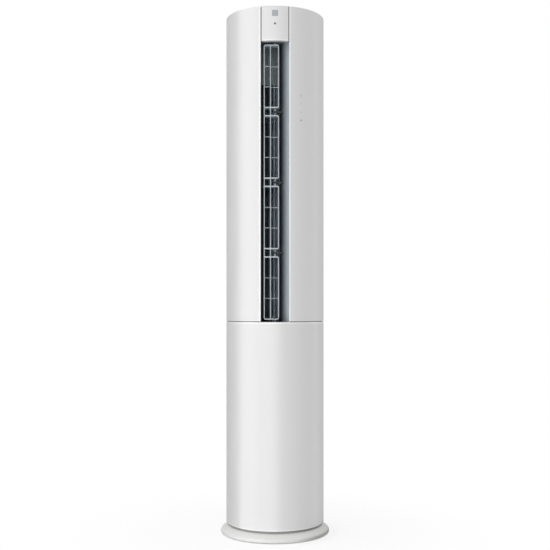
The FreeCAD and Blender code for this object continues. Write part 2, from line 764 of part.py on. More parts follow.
def build_side_panel(label, side):
    """Upper shell on one side, from the outlet to the intake grille; its edge turns in at the outlet."""
    body = new_body(label)
    rear = rear_half_width
    corners = [
        (side * slot_half, -outlet_edge),
        (side * rear, root(d.body_radius * d.body_radius - rear * rear)),
        (side * rear, root(inner_radius * inner_radius - rear * rear)),
        (side * slot_half, -root(inner_radius * inner_radius - slot_half * slot_half)),
    ]
    arcs = {0: Arc(d.body_radius, side), 2: Arc(inner_radius, -side)}
    section = draw(new_sketch(body, "XY_Plane", upper_bottom), corners, arcs)
    shell = pad(body, section, d.total_height - upper_bottom)

    def seen_edge(middle, along):
        beside_outlet = close(middle.x, side * slot_half.value) and close(middle.y, -outlet_edge.value)
        outside = close(math.hypot(middle.x, middle.y), d.body_radius.value)
        at_seam = close(middle.z, upper_bottom.value) and outside
        return beside_outlet or at_seam

    bevel_edges(body, shell, seen_edge, d.edge_bevel)
    flange = new_sketch(body, "XY_Plane", upper_bottom)
    front = d.panel_wall / 2 - outlet_edge
    rear = d.flange_depth - outlet_edge
    rectangle(flange, side * slot_half, front, side * (slot_half + d.panel_wall), rear)
    pad(body, flange, ceiling_bottom - d.fit_gap - upper_bottom)
    return body


def build_cap():
    """Front cap above the outlet, with a turned-in lower edge, the window's recess and the lens hole."""
    body = new_body("cap_panel")
    half = slot_half - d.joint_gap
    outer_y = root(d.body_radius * d.body_radius - half * half)
    inner_y = root(inner_radius * inner_radius - half * half)
    corners = [(-half, -outer_y), (half, -outer_y), (half, -inner_y), (-half, -inner_y)]
    arcs = {0: Arc(d.body_radius, 1), 2: Arc(inner_radius, -1)}
    pad(body, draw(new_sketch(body, "XY_Plane", cap_bottom), corners, arcs), d.cap_height)
    lip_y = outer_y - d.cap_lip
    lip = [(-half, -outer_y), (half, -outer_y), (half, -lip_y), (-half, -lip_y)]
    shell = pad(body, draw(new_sketch(body, "XY_Plane", cap_bottom), lip, {0: Arc(d.body_radius, 1)}),
                d.ceiling_rise - d.fit_gap)

    def lower_edge(middle, along):
        outside = close(math.hypot(middle.x, middle.y), d.body_radius.value)
        return close(middle.z, cap_bottom.value) and outside

    bevel_edges(body, shell, lower_edge, d.edge_bevel)
    recess_half = d.window_side / 2 + d.fit_gap
    recess = new_sketch(body, "XZ_Plane", inner_radius + d.panel_wall - d.window_depth)
    rectangle(recess, -recess_half, window_height - recess_half, recess_half, window_height + recess_half)
    cut = pocket(body, recess, d.panel_wall)
    cut.Reversed = True
    hole = new_sketch(body, "XZ_Plane", d.body_radius)
    circle(hole, 0, lens_height, d.lens_radius + d.running_gap)
    pocket(body, hole, d.body_radius)
    return body


def build_window():
    """Square window that fills its recess in the cap and follows the cap's round."""
    side = d.window_side
    block = primitive("Part::Box", "window_block", Length=side, Width=side, Height=side)
    place(block, -side / 2, -d.body_radius + d.window_depth - side, window_height - side / 2)
    round_face = primitive("Part::Cylinder", "window_round", Radius=d.body_radius - d.fit_gap / 2,
                           Height=d.total_height)
    return join("status_window", "Part::MultiCommon", [block, round_face])


def build_lens():
    """Round lens in the cap."""
    body = new_body("receiver_lens")
    sketch = new_sketch(body, "XZ_Plane", d.body_radius - d.lens_length)
    pad(body, circle(sketch, 0, lens_height, d.lens_radius), d.lens_length)
    return body


def build_receiver_board():
    """Board behind the cap, against the back of the lens."""
    body = new_body("receiver_board")
    half = d.receiver_width / 2
    bottom = lens_height - d.receiver_height / 3
    sketch = new_sketch(body, "XZ_Plane", d.body_radius - d.lens_length - d.board_thickness)
    pad(body, rectangle(sketch, -half, bottom, half, bottom + d.receiver_height), d.board_thickness)
    return body


def build_touch_board():
    """Flat board against the inside of the right panel, behind the touch keys."""
    board = primitive("Part::Box", "touch_board", Length=d.touch_width, Width=d.board_thickness,
                      Height=d.touch_height)
    half = d.touch_width / 2
    reach = root(inner_radius * inner_radius - half * half) - d.fit_gap
    x, y = on_circle(reach, d.touch_angle)
    board.Placement.Rotation = FreeCAD.Rotation(FreeCAD.Vector(0, 0, 1), d.touch_angle.value)
    bind(board, Placement__Rotation__Angle=d.touch_angle)
    place(board, x - half * cosine(d.touch_angle), y - half * sine(d.touch_angle),
          touch_middle - d.touch_height / 2)
    board.Label = "touch_board"
    return board


def build_top_cover():
    """Round cover inside the panels' upper rim, slightly dished, with a skirt."""
    body = new_body("top_cover")
    top = d.total_height - d.fit_gap
    wall = d.cover_thickness
    slope = fit_radius - 4 * wall
    corners = [
        (0, top - d.cover_dish - wall),
        (slope, top - d.cover_dish - wall),
        (fit_radius - wall, top - wall),
        (fit_radius - wall, top - d.cover_skirt),
        (fit_radius, top - d.cover_skirt),
        (fit_radius, top),
        (fit_radius - wall, top),
        (slope, top - d.cover_dish),
        (0, top - d.cover_dish),
    ]
    revolve(body, draw(new_sketch(body, "XZ_Plane"), corners))
    return body


def build_fan_rotor():
    """Cross-flow fan: rings of curved blades between discs."""
    body = new_body("fan_rotor")
    pad(body, circle(new_sketch(body, "XY_Plane"), 0, 0, d.fan_radius), d.fan_disc)
    inside = d.fan_radius - d.blade_depth
    tip = d.fan_radius - 0.2
    half = d.blade_sheet / 2
    lean = d.blade_lean
    waist = (inside + tip) / 2
    bow = lean / 2 - d.blade_bow
    corners = [(inside, -half), (waist, bow - half), (tip, lean - half),
               (tip, lean + half), (waist, bow + half),
               (inside, half)]
    blade = new_sketch(body, "XY_Plane", d.fan_disc / 2)
    draw(blade, corners)
    blades = repeat_round(body, [pad(body, blade, fan_length - d.fan_disc)], d.blade_count)
    pitch = (fan_length - d.fan_disc) / d.fan_sections
    disc = pad(body, circle(new_sketch(body, "XY_Plane", pitch), 0, 0, d.fan_radius), d.fan_disc)
    repeat_up(body, [disc], d.fan_sections, pitch * (d.fan_sections - 1))
    return place(body, d.fan_x, fan_y, fan_bottom)


def build_fan_hub():
    """Hub below the fan's lowest disc, round the motor shaft."""
    body = new_body("fan_hub")
    sketch = new_sketch(body, "XY_Plane")
    circle(sketch, 0, 0, d.hub_radius)
    circle(sketch, 0, 0, d.shaft_radius)
    pad(body, sketch, d.hub_length)
    return place(body, d.fan_x, fan_y, fan_bottom - d.hub_length)


def build_motor_shaft():
    """Shaft from inside the fan motor up to the fan's lowest disc."""
    start = floor_bottom - d.mount_height - d.motor_length / 2
    shaft = primitive("Part::Cylinder", "motor_shaft", Radius=d.shaft_radius, Height=fan_bottom - start)
    return place(shaft, d.fan_x, fan_y, start)


def build_fan_journal():
    """Pin on top of the fan that turns in the upper bearing."""
    pin = primitive("Part::Cylinder", "fan_journal", Radius=d.journal_radius,
                    Height=ceiling_top + d.bearing_length / 4 - fan_top)
    return place(pin, d.fan_x, fan_y, fan_top)


def build_fan_bearing():
    """Flanged bush in the chassis ceiling."""
    body = new_body("fan_bearing")
    bore = d.journal_radius + d.running_gap
    lower = ceiling_top - d.bearing_length
    corners = [
        (bore, lower),
        (d.bearing_radius, lower),
        (d.bearing_radius, ceiling_top),
        (d.bearing_radius + d.ceiling_thickness, ceiling_top),
        (d.bearing_radius + d.ceiling_thickness, ceiling_top + d.bearing_length / 3),
        (bore, ceiling_top + d.bearing_length / 3),
    ]
    revolve(body, draw(new_sketch(body, "XZ_Plane"), corners))
    return place(body, d.fan_x, fan_y)


def build_fan_motor():
    """Motor below the chassis floor, with end bells, a flange and the shaft's bore."""
    body = new_body("fan_motor")
    bore = d.shaft_radius + d.running_gap
    top = floor_bottom - d.mount_height
    bottom = top - d.motor_length
    waist = d.motor_radius - d.motor_flange
    corners = [
        (0, bottom),
        (waist * 0.6, bottom),
        (waist, bottom + d.motor_length * 0.25),
        (waist, top - d.motor_flange),
        (d.motor_radius + d.mount_radius * 2, top - d.motor_flange),
        (d.motor_radius + d.mount_radius * 2, top),
        (bore, top),
        (bore, top - d.motor_length / 2 - d.fit_gap),
        (0, top - d.motor_length / 2 - d.fit_gap),
    ]
    revolve(body, draw(new_sketch(body, "XZ_Plane"), corners))
    return place(body, d.fan_x, fan_y)


def build_motor_mounts():
    """Four rubber bushes between the motor's flange and the chassis floor."""
    mounts = []
    circle_radius = d.motor_radius + d.mount_radius * 0.9
    for index in range(4):
        mount = primitive("Part::Cylinder", f"mount_{index}", Radius=d.mount_radius, Height=d.mount_height)
        x, y = on_circle(circle_radius, 45.0 + 90.0 * index)
        mounts.append(place(mount, d.fan_x + x, fan_y + y, floor_bottom - d.mount_height))
    return join("motor_mounts", "Part::Compound", mounts)


def build_louver():
    """Swinging louver: three upright blades, bars and ribs in modules, bracket notches and pins."""
    body = new_body("swing_louver")
    blade = d.louver_blade / 2
    left = -(d.louver_left + blade)
    right = d.louver_right + blade
    back = pivot_y - d.louver_depth / 2
    bottom = louver_bottom
    frame = new_sketch(body, "XZ_Plane", back)
    pad(body, rectangle(frame, left, bottom, right, louver_top), d.louver_depth)

    columns = [(-d.louver_left + blade, -d.louver_middle - blade),
               (-d.louver_middle + blade, d.louver_right - blade)]
    openings = new_sketch(body, "XZ_Plane", back + d.louver_depth)
    open_low = bottom + d.louver_bar
    open_high = bottom + module_height - d.louver_bar
    for first, last in columns:
        rectangle(openings, first, open_low, last, open_high)
    cut = pocket(body, openings, d.louver_depth)
    repeat_up(body, [cut], d.module_count, louver_pitch * (d.module_count - 1))

    row_height = (open_high - open_low - (d.rib_rows - 1) * d.louver_rib) / d.rib_rows
    for (first, last), inset in zip(columns, (d.rib_inset, d.rib_set_back)):
        ribs = new_sketch(body, "XZ_Plane", back + d.louver_depth - inset - d.rib_depth)
        for row in range(1, int(d.rib_rows.value)):
            low = open_low + row_height * row + d.louver_rib * (row - 1)
            rectangle(ribs, first - blade, low, last + blade, low + d.louver_rib)
        repeat_up(body, [pad(body, ribs, d.rib_depth)], d.module_count, louver_pitch * (d.module_count - 1))

    gaps = new_sketch(body, "XZ_Plane", back + d.louver_depth)
    gap_low = bottom + module_height
    gap_high = bottom + louver_pitch
    rectangle(gaps, columns[0][0], gap_low, columns[0][1], gap_high)
    rectangle(gaps, columns[1][0], gap_low, right + d.louver_bar, gap_high)
    notch = pocket(body, gaps, d.louver_depth)
    notches = repeat_up(body, [notch], d.module_count - 1, louver_pitch * (d.module_count - 2))

    module_ends = []
    for module in range(int(d.module_count.value)):
        start = (bottom + louver_pitch * module).value
        module_ends += [start, start + module_height.value]
    outer_ends = (bottom.value, louver_top.value)

    def corner_edge(middle, along):
        on_right = close(middle.x, right.value) and any(close(middle.z, end) for end in module_ends)
        on_left = close(middle.x, left.value) and any(close(middle.z, end) for end in outer_ends)
        return close(abs(along.y), 1) and (on_right or on_left)

    bevel_edges(body, notches, corner_edge, d.louver_corner, "PartDesign::Fillet")

    pin = new_sketch(body, "XY_Plane", gap_low - d.louver_bar / 2)
    circle(pin, 0, -pivot_y, d.pin_radius)
    pins = pad(body, pin, d.module_gap + d.louver_bar)
    repeat_up(body, [pins], d.module_count - 1, louver_pitch * (d.module_count - 2))
    lower = new_sketch(body, "XY_Plane", floor_top - d.pin_depth)
    circle(lower, 0, -pivot_y, d.pin_radius)
    pad(body, lower, bottom - floor_top + d.pin_depth + d.louver_bar / 2)
    upper = new_sketch(body, "XY_Plane", louver_top - d.louver_bar / 2)
    circle(upper, 0, -pivot_y, d.pin_radius)
    pad(body, upper, ceiling_bottom + d.ceiling_thickness / 2 - louver_top + d.louver_bar / 2)
    return body


def build_louver_brackets():
    """Arms from the right wall into the louver's notches, each with an eye round the louver's pin."""
    arms = []
    half = d.arm_width / 2
    end = flare_x(pivot_y - half) - d.duct_wall * 0.6 - d.fit_gap
    for index in range(int(d.module_count.value) - 1):
        middle = louver_bottom + louver_pitch * (index + 1) - d.module_gap / 2
        body = new_body(f"louver_bracket_{index}")
        sketch = new_sketch(body, "XY_Plane", middle - d.arm_height / 2)
        reach = root(d.eye_radius * d.eye_radius - half * half)
        corners = [(reach, -pivot_y - half), (end, -pivot_y - half),
                   (end, half - pivot_y), (reach, half - pivot_y)]
        draw(sketch, corners, {3: Arc(d.eye_radius, 1, True)})
        circle(sketch, 0, -pivot_y, bore_radius)
        pad(body, sketch, d.arm_height)
        arms.append(body)
    return join("louver_brackets", "Part::Compound", arms)


def build_louver_motor():
    """Stepper motor on the chassis ceiling: a drum on a plate with two ears."""
    body = new_body("louver_motor")
    bore = d.pin_radius + d.running_gap
    plate = new_sketch(body, "XY_Plane", ceiling_top)
    half = d.stepper_radius / 3
    rectangle(plate, -d.stepper_ear, -half, d.stepper_ear, half)
    pad(body, plate, d.stepper_sheet)
    pad(body, circle(new_sketch(body, "XY_Plane", ceiling_top), 0, 0, d.stepper_radius), d.stepper_height)
    hole = new_sketch(body, "XY_Plane", ceiling_top + d.drive_length)
    pocket(body, circle(hole, 0, 0, bore), d.drive_length * 2)
    return place(body, 0, -pivot_y)


def build_louver_motor_shaft():
    """Shaft of the louver motor, on top of the louver's upper pin."""
    start = ceiling_bottom + d.ceiling_thickness / 2
    shaft = primitive("Part::Cylinder", "louver_motor_shaft", Radius=d.pin_radius,
                      Height=ceiling_top + d.drive_length - d.fit_gap - start)
    return place(shaft, 0, -pivot_y, start)


def build_intake_grille():
    """Rear shell with upright slots, and rings behind the slots that hold the bars."""
    body = new_body("intake_grille")
    half = rear_half_width - d.joint_gap
    outer_y = root(d.body_radius * d.body_radius - half * half)
    inner_y = root(inner_radius * inner_radius - half * half)
    corners = [(half, outer_y), (-half, outer_y), (-half, inner_y), (half, inner_y)]
    arcs = {0: Arc(d.body_radius, 1), 2: Arc(inner_radius, -1)}
    height = d.total_height - upper_bottom
    pad(body, draw(new_sketch(body, "XY_Plane", upper_bottom), corners, arcs), height)
    slots = new_sketch(body, "XY_Plane", d.total_height - d.grille_margin - d.cap_height)
    slot_height = height - d.grille_margin * 2 - d.cap_height
    width = d.grille_slot / 2
    sweep = d.grille_pitch * (d.grille_slots - 1) / 2
    across = (sine(sweep), cosine(sweep))
    corners = []
    for reach, side in ((inner_radius - d.panel_wall, -width), (d.body_radius + d.panel_wall, -width),
                        (d.body_radius + d.panel_wall, width), (inner_radius - d.panel_wall, width)):
        corners.append((reach * across[0] - side * across[1], reach * across[1] + side * across[0]))
    first = pocket(body, draw(slots, corners), slot_height)
    repeat_round(body, [first], d.grille_slots, sweep * 2)
    spacing = slot_height / (d.grille_ribs + 1)
    start = upper_bottom + d.grille_margin + spacing - d.rib_height / 2
    ring = new_sketch(body, "XY_Plane", start)
    ring_sector(ring, inner_radius, inner_radius + d.rib_wall,
                180 - sweep - d.grille_pitch, 180 + sweep + d.grille_pitch)
    rib = pad(body, ring, d.rib_height)
    repeat_up(body, [rib], d.grille_ribs, spacing * (d.grille_ribs - 1))
    return body


filter_bottom = upper_bottom + d.filter_margin
filter_top = d.total_height - d.cap_height - d.filter_margin


def build_filter_frame():
    """Curved frame inside the grille with openings for the mesh."""
    body = new_body("filter_frame")
    outer = fit_radius
    inner = outer - d.filter_wall
    height = filter_top - filter_bottom
    sketch = new_sketch(body, "XY_Plane", filter_bottom)
    ring_sector(sketch, inner, outer, 180 - d.filter_angle, 180 + d.filter_angle)
    pad(body, sketch, height)
    border = d.filter_border
    row = (height - border * (d.filter_rows + 1)) / d.filter_rows
    edge_angle = border / inner * 57.3
    openings = new_sketch(body, "XY_Plane", filter_bottom + border + row)
    panes = ((-d.filter_angle + edge_angle, -edge_angle / 2),
             (edge_angle / 2, d.filter_angle - edge_angle))
    for first, last in panes:
        ring_sector(openings, inner - d.filter_wall, outer + d.filter_wall, 180 + first, 180 + last)
    cut = pocket(body, openings, row)
    repeat_up(body, [cut], d.filter_rows, (row + border) * (d.filter_rows - 1))
    return body


def build_filter_mesh():
    """Thin mesh sheet on the inside of the filter frame."""
    body = new_body("filter_mesh")
    outer = fit_radius - d.filter_wall - d.running_gap
    sketch = new_sketch(body, "XY_Plane", filter_bottom + d.filter_border / 2)
    ring_sector(sketch, outer - d.mesh_sheet, outer, 182 - d.filter_angle, 178 + d.filter_angle)
    pad(body, sketch, filter_top - filter_bottom - d.filter_border)
    return body


def build_coil_band(label, bottom, height, lip):
    """Part of the evaporator: a ring sector round the back of the fan."""
    body = new_body(label)
    sketch = new_sketch(body, "XY_Plane", bottom)
    ring_sector(sketch, coil_inner - lip, coil_outer + lip, 180 - d.coil_angle, 180 + d.coil_angle)
    pad(body, sketch, height)
    return body


def build_return_bends():
    """Return bends of tube on the evaporator's upper end plate."""
    bends = []
    count = int(d.bend_count.value)
    base = (coil_top + d.coil_plate).value
    height = d.bend_height.value
    middle = coil_middle.value
    for index in range(count):
        angle = d.bend_pitch.value * (index - (count - 1) / 2)
        feet = []
        for turn in (angle - d.bend_spread.value, angle + d.bend_spread.value):
            turn = math.radians(turn)
            feet.append(FreeCAD.Vector(middle * math.sin(turn), middle * math.cos(turn), base))
        shoulder = FreeCAD.Vector(0, 0, height / 2)
        crown = FreeCAD.Vector(0, 0, height - d.tube_radius.value)
        points = [feet[0], feet[0] + shoulder, along(feet[0], feet[1], height / 3) + crown,
                  along(feet[1], feet[0], height / 3) + crown, feet[1] + shoulder, feet[1]]
        bends.append(tube(f"return_bend_{index}", points, d.tube_radius))
    return join("evaporator_return_bends", "Part::Compound", bends)


def build_drain_pan():
    """Trough below the evaporator with ribs that carry it and an outlet for the hose."""
    body = new_body("drain_pan")
    outside = new_sketch(body, "XY_Plane", floor_top)
    ring_sector(outside, pan_inner, pan_outer, 180 - d.pan_angle, 180 + d.pan_angle)
    pad(body, outside, d.pan_height)
    wall = d.pan_wall
    wall_angle = wall / pan_inner * 57.3
    inside = new_sketch(body, "XY_Plane", pan_top)
    first = 180 - d.pan_angle + wall_angle
    ring_sector(inside, pan_inner + wall, pan_outer - wall, first, 360 - first)
    pocket(body, inside, d.pan_height - wall)
    for angle in (120.0, 165.0, 195.0, 240.0):
        rib = new_sketch(body, "XY_Plane", floor_top + wall / 2)
        rib_angle = d.pan_rib / coil_middle * 28.65
        ring_sector(rib, pan_inner + wall / 2, pan_outer - wall / 2, angle - rib_angle, angle + rib_angle)
        pad(body, rib, d.pan_height - wall / 2)
    outlet = new_sketch(body, "XY_Plane", pan_top)
    pocket(body, circle(outlet, 0, hose_y, d.hose_radius - d.hose_wall))
    return body


def build_drain_hose():
    """Hose from the drain pan down through the base plate."""
    body = new_body("drain_hose")
    sketch = new_sketch(body, "XY_Plane", d.foot_height)
    circle(sketch, 0, hose_y, d.hose_radius)
    circle(sketch, 0, hose_y, d.hose_radius - d.hose_wall)
    pad(body, sketch, floor_top - d.foot_height)
    return body


def build_pipe(label, side, radius):
    """Copper pipe: over the end of the evaporator, down through the chassis floor, and round to the back."""
    middle = coil_middle.value
    angles = [math.radians(angle.value) for angle in (d.pipe_start, d.pipe_drop)]
    start, drop = [FreeCAD.Vector(side * middle * math.sin(a), middle * math.cos(a), 0) for a in angles]
    top = FreeCAD.Vector(0, 0, (coil_top + d.coil_plate).value)
    crown = FreeCAD.Vector(0, 0, d.pipe_rise.value)
    low = FreeCAD.Vector(0, 0, d.outlet_height.value)
    end = FreeCAD.Vector(side * d.pipe_end_x.value, pipe_end_y.value, 0)
    bend = d.pipe_bend.value
    points = [
        start + top,
        start + top + crown * 0.5,
        along(start, drop, d.pipe_rise.value / 2) + top + crown,
        along(drop, start, d.pipe_rise.value / 2) + top + crown,
        drop + top + crown * 0.5,
        drop + low + FreeCAD.Vector(0, 0, bend),
        along(drop, end, bend) + low,
        end + low,
    ]
    return tube(label, points, radius)


def build_flare_nuts():
    """Hexagon nuts on the rear ends of the two pipes."""
    nuts = []
    for side, radius in ((1, d.gas_radius), (-1, d.liquid_radius)):
        drop = coil_middle * sine(d.pipe_drop)
        run_x = side * (d.pipe_end_x - drop)
        run_y = pipe_end_y - coil_middle * cosine(d.pipe_drop)
        heading = math.degrees(math.atan2(run_y.value, run_x.value))
        prism = primitive("Part::Prism", f"nut_prism_{side}", Circumradius=d.nut_radius, Height=d.nut_length)
        prism.Polygon = 6
        bore = primitive("Part::Cylinder", f"nut_bore_{side}", Radius=radius + d.running_gap,
                         Height=d.nut_length)
        nut = join(f"flare_nut_{side}", "Part::Cut", (prism, bore))
        level = FreeCAD.Rotation(FreeCAD.Vector(0, 1, 0), 90)
        nut.Placement.Rotation = FreeCAD.Rotation(FreeCAD.Vector(0, 0, 1), heading).multiply(level)
        run = root(run_x * run_x + run_y * run_y)
        x = side * d.pipe_end_x - run_x / run * d.nut_length
        y = pipe_end_y - run_y / run * d.nut_length
        nuts.append(place(nut, x, y, d.outlet_height))
    return join("flare_nuts", "Part::Compound", nuts)


column_front_x, column_front_y = on_circle(column_circle, d.column_front_angle)
column_face = d.column_depth / 2 - column_front_y
box_front = column_face + d.box_wall + d.box_depth
box_top = d.box_bottom + d.box_height


def build_control_box():
    """Sheet metal tray on a plate that is fixed to the front columns, with standoffs for the board."""
    body = new_body("control_box")
    ear = column_front_x + d.column_width / 2 + d.box_ear
    half = d.box_width / 2
    plate = new_sketch(body, "XZ_Plane", column_face)
    pad(body, rectangle(plate, -ear, d.box_bottom, ear, box_top), d.box_wall)
    tray = new_sketch(body, "XZ_Plane", column_face)
    pad(body, rectangle(tray, -half, d.box_bottom, half, box_top), d.box_depth + d.box_wall)
    wall = d.box_wall
    cavity = new_sketch(body, "XZ_Plane", box_front)
    rectangle(cavity, wall - half, d.box_bottom + wall, half - wall, box_top - wall)
    pocket(body, cavity, d.box_depth)
    stands = new_sketch(body, "XZ_Plane", column_face + wall)
    inset = d.control_margin + d.standoff_radius * 1.5
    for x in (inset - half, half - inset):
        for z in (d.box_bottom + inset + d.terminal_height + d.control_margin, box_top - inset):
            circle(stands, x, z, d.standoff_radius)
    pad(body, stands, d.standoff_height)
    return body


def build_control_board():
    """Circuit board on the standoffs in the control box."""
    body = new_body("control_board")
    half = d.box_width / 2 - d.control_margin
    sketch = new_sketch(body, "XZ_Plane", column_face + d.box_wall + d.standoff_height)
    bottom = d.box_bottom + d.terminal_height + d.control_margin * 2
    pad(body, rectangle(sketch, -half, bottom, half, box_top - d.control_margin), d.board_thickness)
    return body


def build_terminal_block():
    """Terminal block on the floor of the control box, with a recess for each pole."""
    body = new_body("terminal_block")
    half = d.terminal_width / 2
    bottom = d.box_bottom + d.box_wall + d.control_margin / 2
    back = column_face + d.box_wall
    block = new_sketch(body, "XZ_Plane", back)
    pad(body, rectangle(block, -half, bottom, half, bottom + d.terminal_height), d.terminal_depth)
    poles = new_sketch(body, "XZ_Plane", back + d.terminal_depth)
    pitch = d.terminal_width / d.terminal_poles
    for index in range(int(d.terminal_poles.value)):
        left = pitch * (index + 0.2) - half
        rectangle(poles, left, bottom + d.terminal_height * 0.3,
                  left + pitch * 0.6, bottom + d.terminal_height * 0.7)
    pocket(body, poles, d.terminal_depth * 0.4)
    return body


def build_control_cover():
    """Flat cover over the control box."""
    body = new_body("control_box_cover")
    half = d.box_width / 2
    sketch = new_sketch(body, "XZ_Plane", box_front)
    pad(body, rectangle(sketch, -half, d.box_bottom, half, box_top), d.box_wall)
    return body


subparts = [
    build_feet(),
    build_base_plate(),
    build_plinth(),
    build_lower_panel("lower_front_panel", -d.lower_split, d.lower_split),
    build_lower_rear_panel(),
    build_grommet("pipe_grommet", d.outlet_height, d.outlet_radius),
    build_grommet("cord_gland", d.gland_height, d.gland_radius),
    build_column("column_front_left", -d.column_front_angle),
    build_column("column_front_right", d.column_front_angle),
    build_column("column_rear_left", -d.column_rear_angle),
    build_column("column_rear_right", d.column_rear_angle),
    build_chassis_floor(),
    build_chassis_ceiling(),
    build_stabiliser(),
    build_volute(),
    build_side_panel("upper_left_panel", -1),
    build_side_panel("upper_right_panel", 1),
    build_cap(),
    build_window(),
    build_lens(),
    build_receiver_board(),
    build_touch_board(),
    build_top_cover(),
    build_fan_rotor(),
    build_fan_hub(),
    build_motor_shaft(),
    build_fan_journal(),
    build_fan_bearing(),
    build_fan_motor(),
    build_motor_mounts(),
    build_louver(),
    build_louver_brackets(),
    build_louver_motor(),
    build_louver_motor_shaft(),
    build_intake_grille(),
    build_filter_frame(),
    build_filter_mesh(),
    build_coil_band("evaporator_fins", coil_bottom, coil_height, as_size(0)),
    build_coil_band("evaporator_bottom_plate", pan_top, d.coil_plate, d.coil_lip),
    build_coil_band("evaporator_top_plate", coil_top, d.coil_plate, d.coil_lip),
    build_return_bends(),
    build_drain_pan(),
    build_drain_hose(),
    build_pipe("gas_pipe", 1, d.gas_radius),
    build_pipe("liquid_pipe", -1, d.liquid_radius),
    build_flare_nuts(),
    build_control_box(),
    build_control_board(),
    build_terminal_block(),
    build_control_cover(),
]
doc.recompute()

broken = [item.Label for item in doc.Objects if "Invalid" in item.State or "Error" in item.State]
broken += [part.Label for part in subparts if part.Shape.isNull() or not part.Shape.isValid()]
if broken:
    raise RuntimeError("not built: " + ", ".join(sorted(set(broken))))

os.makedirs("parts", exist_ok=True)
for part in subparts:
    part.Shape.exportStep(f"parts/{part.Label}.step")
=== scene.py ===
"""Visual scene of a floor standing air conditioner: a round white cabinet with a tall front outlet."""

import logging
import math
from contextlib import contextmanager
from dataclasses import dataclass, field
from enum import Enum
from typing import Any, Callable, Iterable, Iterator, Optional, Sequence, Union

import bpy
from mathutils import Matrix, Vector


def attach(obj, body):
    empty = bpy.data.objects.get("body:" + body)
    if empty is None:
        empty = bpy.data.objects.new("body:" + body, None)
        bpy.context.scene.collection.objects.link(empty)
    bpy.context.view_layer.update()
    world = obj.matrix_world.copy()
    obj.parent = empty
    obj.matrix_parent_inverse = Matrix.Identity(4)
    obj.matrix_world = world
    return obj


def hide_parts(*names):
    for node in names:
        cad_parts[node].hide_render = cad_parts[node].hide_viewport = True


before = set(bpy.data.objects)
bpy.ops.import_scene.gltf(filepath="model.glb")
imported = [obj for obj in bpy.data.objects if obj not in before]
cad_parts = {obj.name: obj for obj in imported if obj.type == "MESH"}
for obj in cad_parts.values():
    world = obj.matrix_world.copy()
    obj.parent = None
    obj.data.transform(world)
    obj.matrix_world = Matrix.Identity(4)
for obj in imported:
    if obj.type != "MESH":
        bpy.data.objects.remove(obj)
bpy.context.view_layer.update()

log = logging.getLogger("air_conditioner")

Piece = bpy.types.Object
Point = tuple[float, float]
Triple = tuple[float, float, float]
Colour = tuple[float, float, float, float]


def tone(grey: float) -> Colour:
    """Plain grey colour."""
    return (grey, grey, grey, 1.0)


class Wire:
    """Output socket of a shader node, on which Python's operators add Math nodes."""

    def __init__(self, nodes: "Nodes", socket: bpy.types.NodeSocket) -> None:
        """Keeps the socket and the nodes that it belongs to."""
        self.nodes = nodes
        self.socket = socket

    def math(self, operation: str, *others: Any) -> "Wire":
        """Result of a Math node on this wire and other values or wires."""
        return self.nodes.node("ShaderNodeMath", {"operation": operation}, [self, *others])

    def __add__(self, other: Any) -> "Wire":
        """Sum."""
        return self.math("ADD", other)

    __radd__ = __add__

    def __sub__(self, other: Any) -> "Wire":
        """Difference."""
        return self.math("SUBTRACT", other)

    def __rsub__(self, other: Any) -> "Wire":
        """Difference, from a number."""
        return self.nodes.node("ShaderNodeMath", {"operation": "SUBTRACT"}, [other, self])

    def __mul__(self, other: Any) -> "Wire":
        """Product."""
        return self.math("MULTIPLY", other)

    __rmul__ = __mul__

    def __truediv__(self, other: Any) -> "Wire":
        """Quotient."""
        return self.math("DIVIDE", other)

    def zigzag(self) -> "Wire":
        """Falls from 1 to 0 and rises to 1 again over each whole number."""
        return (self.math("FRACT") - 0.5).math("ABSOLUTE") * 2.0


class Nodes:
    """Node tree under construction."""

    def __init__(self, tree: bpy.types.NodeTree) -> None:
        """Keeps the tree."""
        self.tree = tree

    def first(self, kind: str) -> bpy.types.Node:
        """The tree's first node of a kind."""
        return next(node for node in self.tree.nodes if node.type == kind)

    def node(self, kind: str, settings: Optional[dict[str, Any]] = None, inputs: Any = None,
             output: Union[int, str] = 0) -> Wire:
        """Adds any node.

        Args:
            kind: the node's type.
            settings: properties, which are set first.
            inputs: values or wires, as a list in socket order or a dict by socket name.
            output: which output to return.

        Returns:
            The chosen output.
        """
        made = self.tree.nodes.new(kind)
        for name, value in (settings or {}).items():
            setattr(made, name, value)
        pairs = inputs.items() if isinstance(inputs, dict) else enumerate(inputs or [])
        for key, value in pairs:
            self.feed(made.inputs[key], value)
        return Wire(self, made.outputs[output])

    def feed(self, socket: bpy.types.NodeSocket, value: Any) -> None:
        """Fills a socket.

        Args:
            socket: the socket.
            value: a wire to link, or the socket's own value.
        """
        if isinstance(value, Wire):
            self.tree.links.new(value.socket, socket)
        else:
            socket.default_value = value

    def step(self, value: Wire, low: float, high: float, first: float = 0.0, last: float = 1.0) -> Wire:
        """Smooth step from a first to a last result while the value goes from low to high."""
        return self.node("ShaderNodeMapRange", {"interpolation_type": "SMOOTHSTEP"}, [value, low, high, first, last])


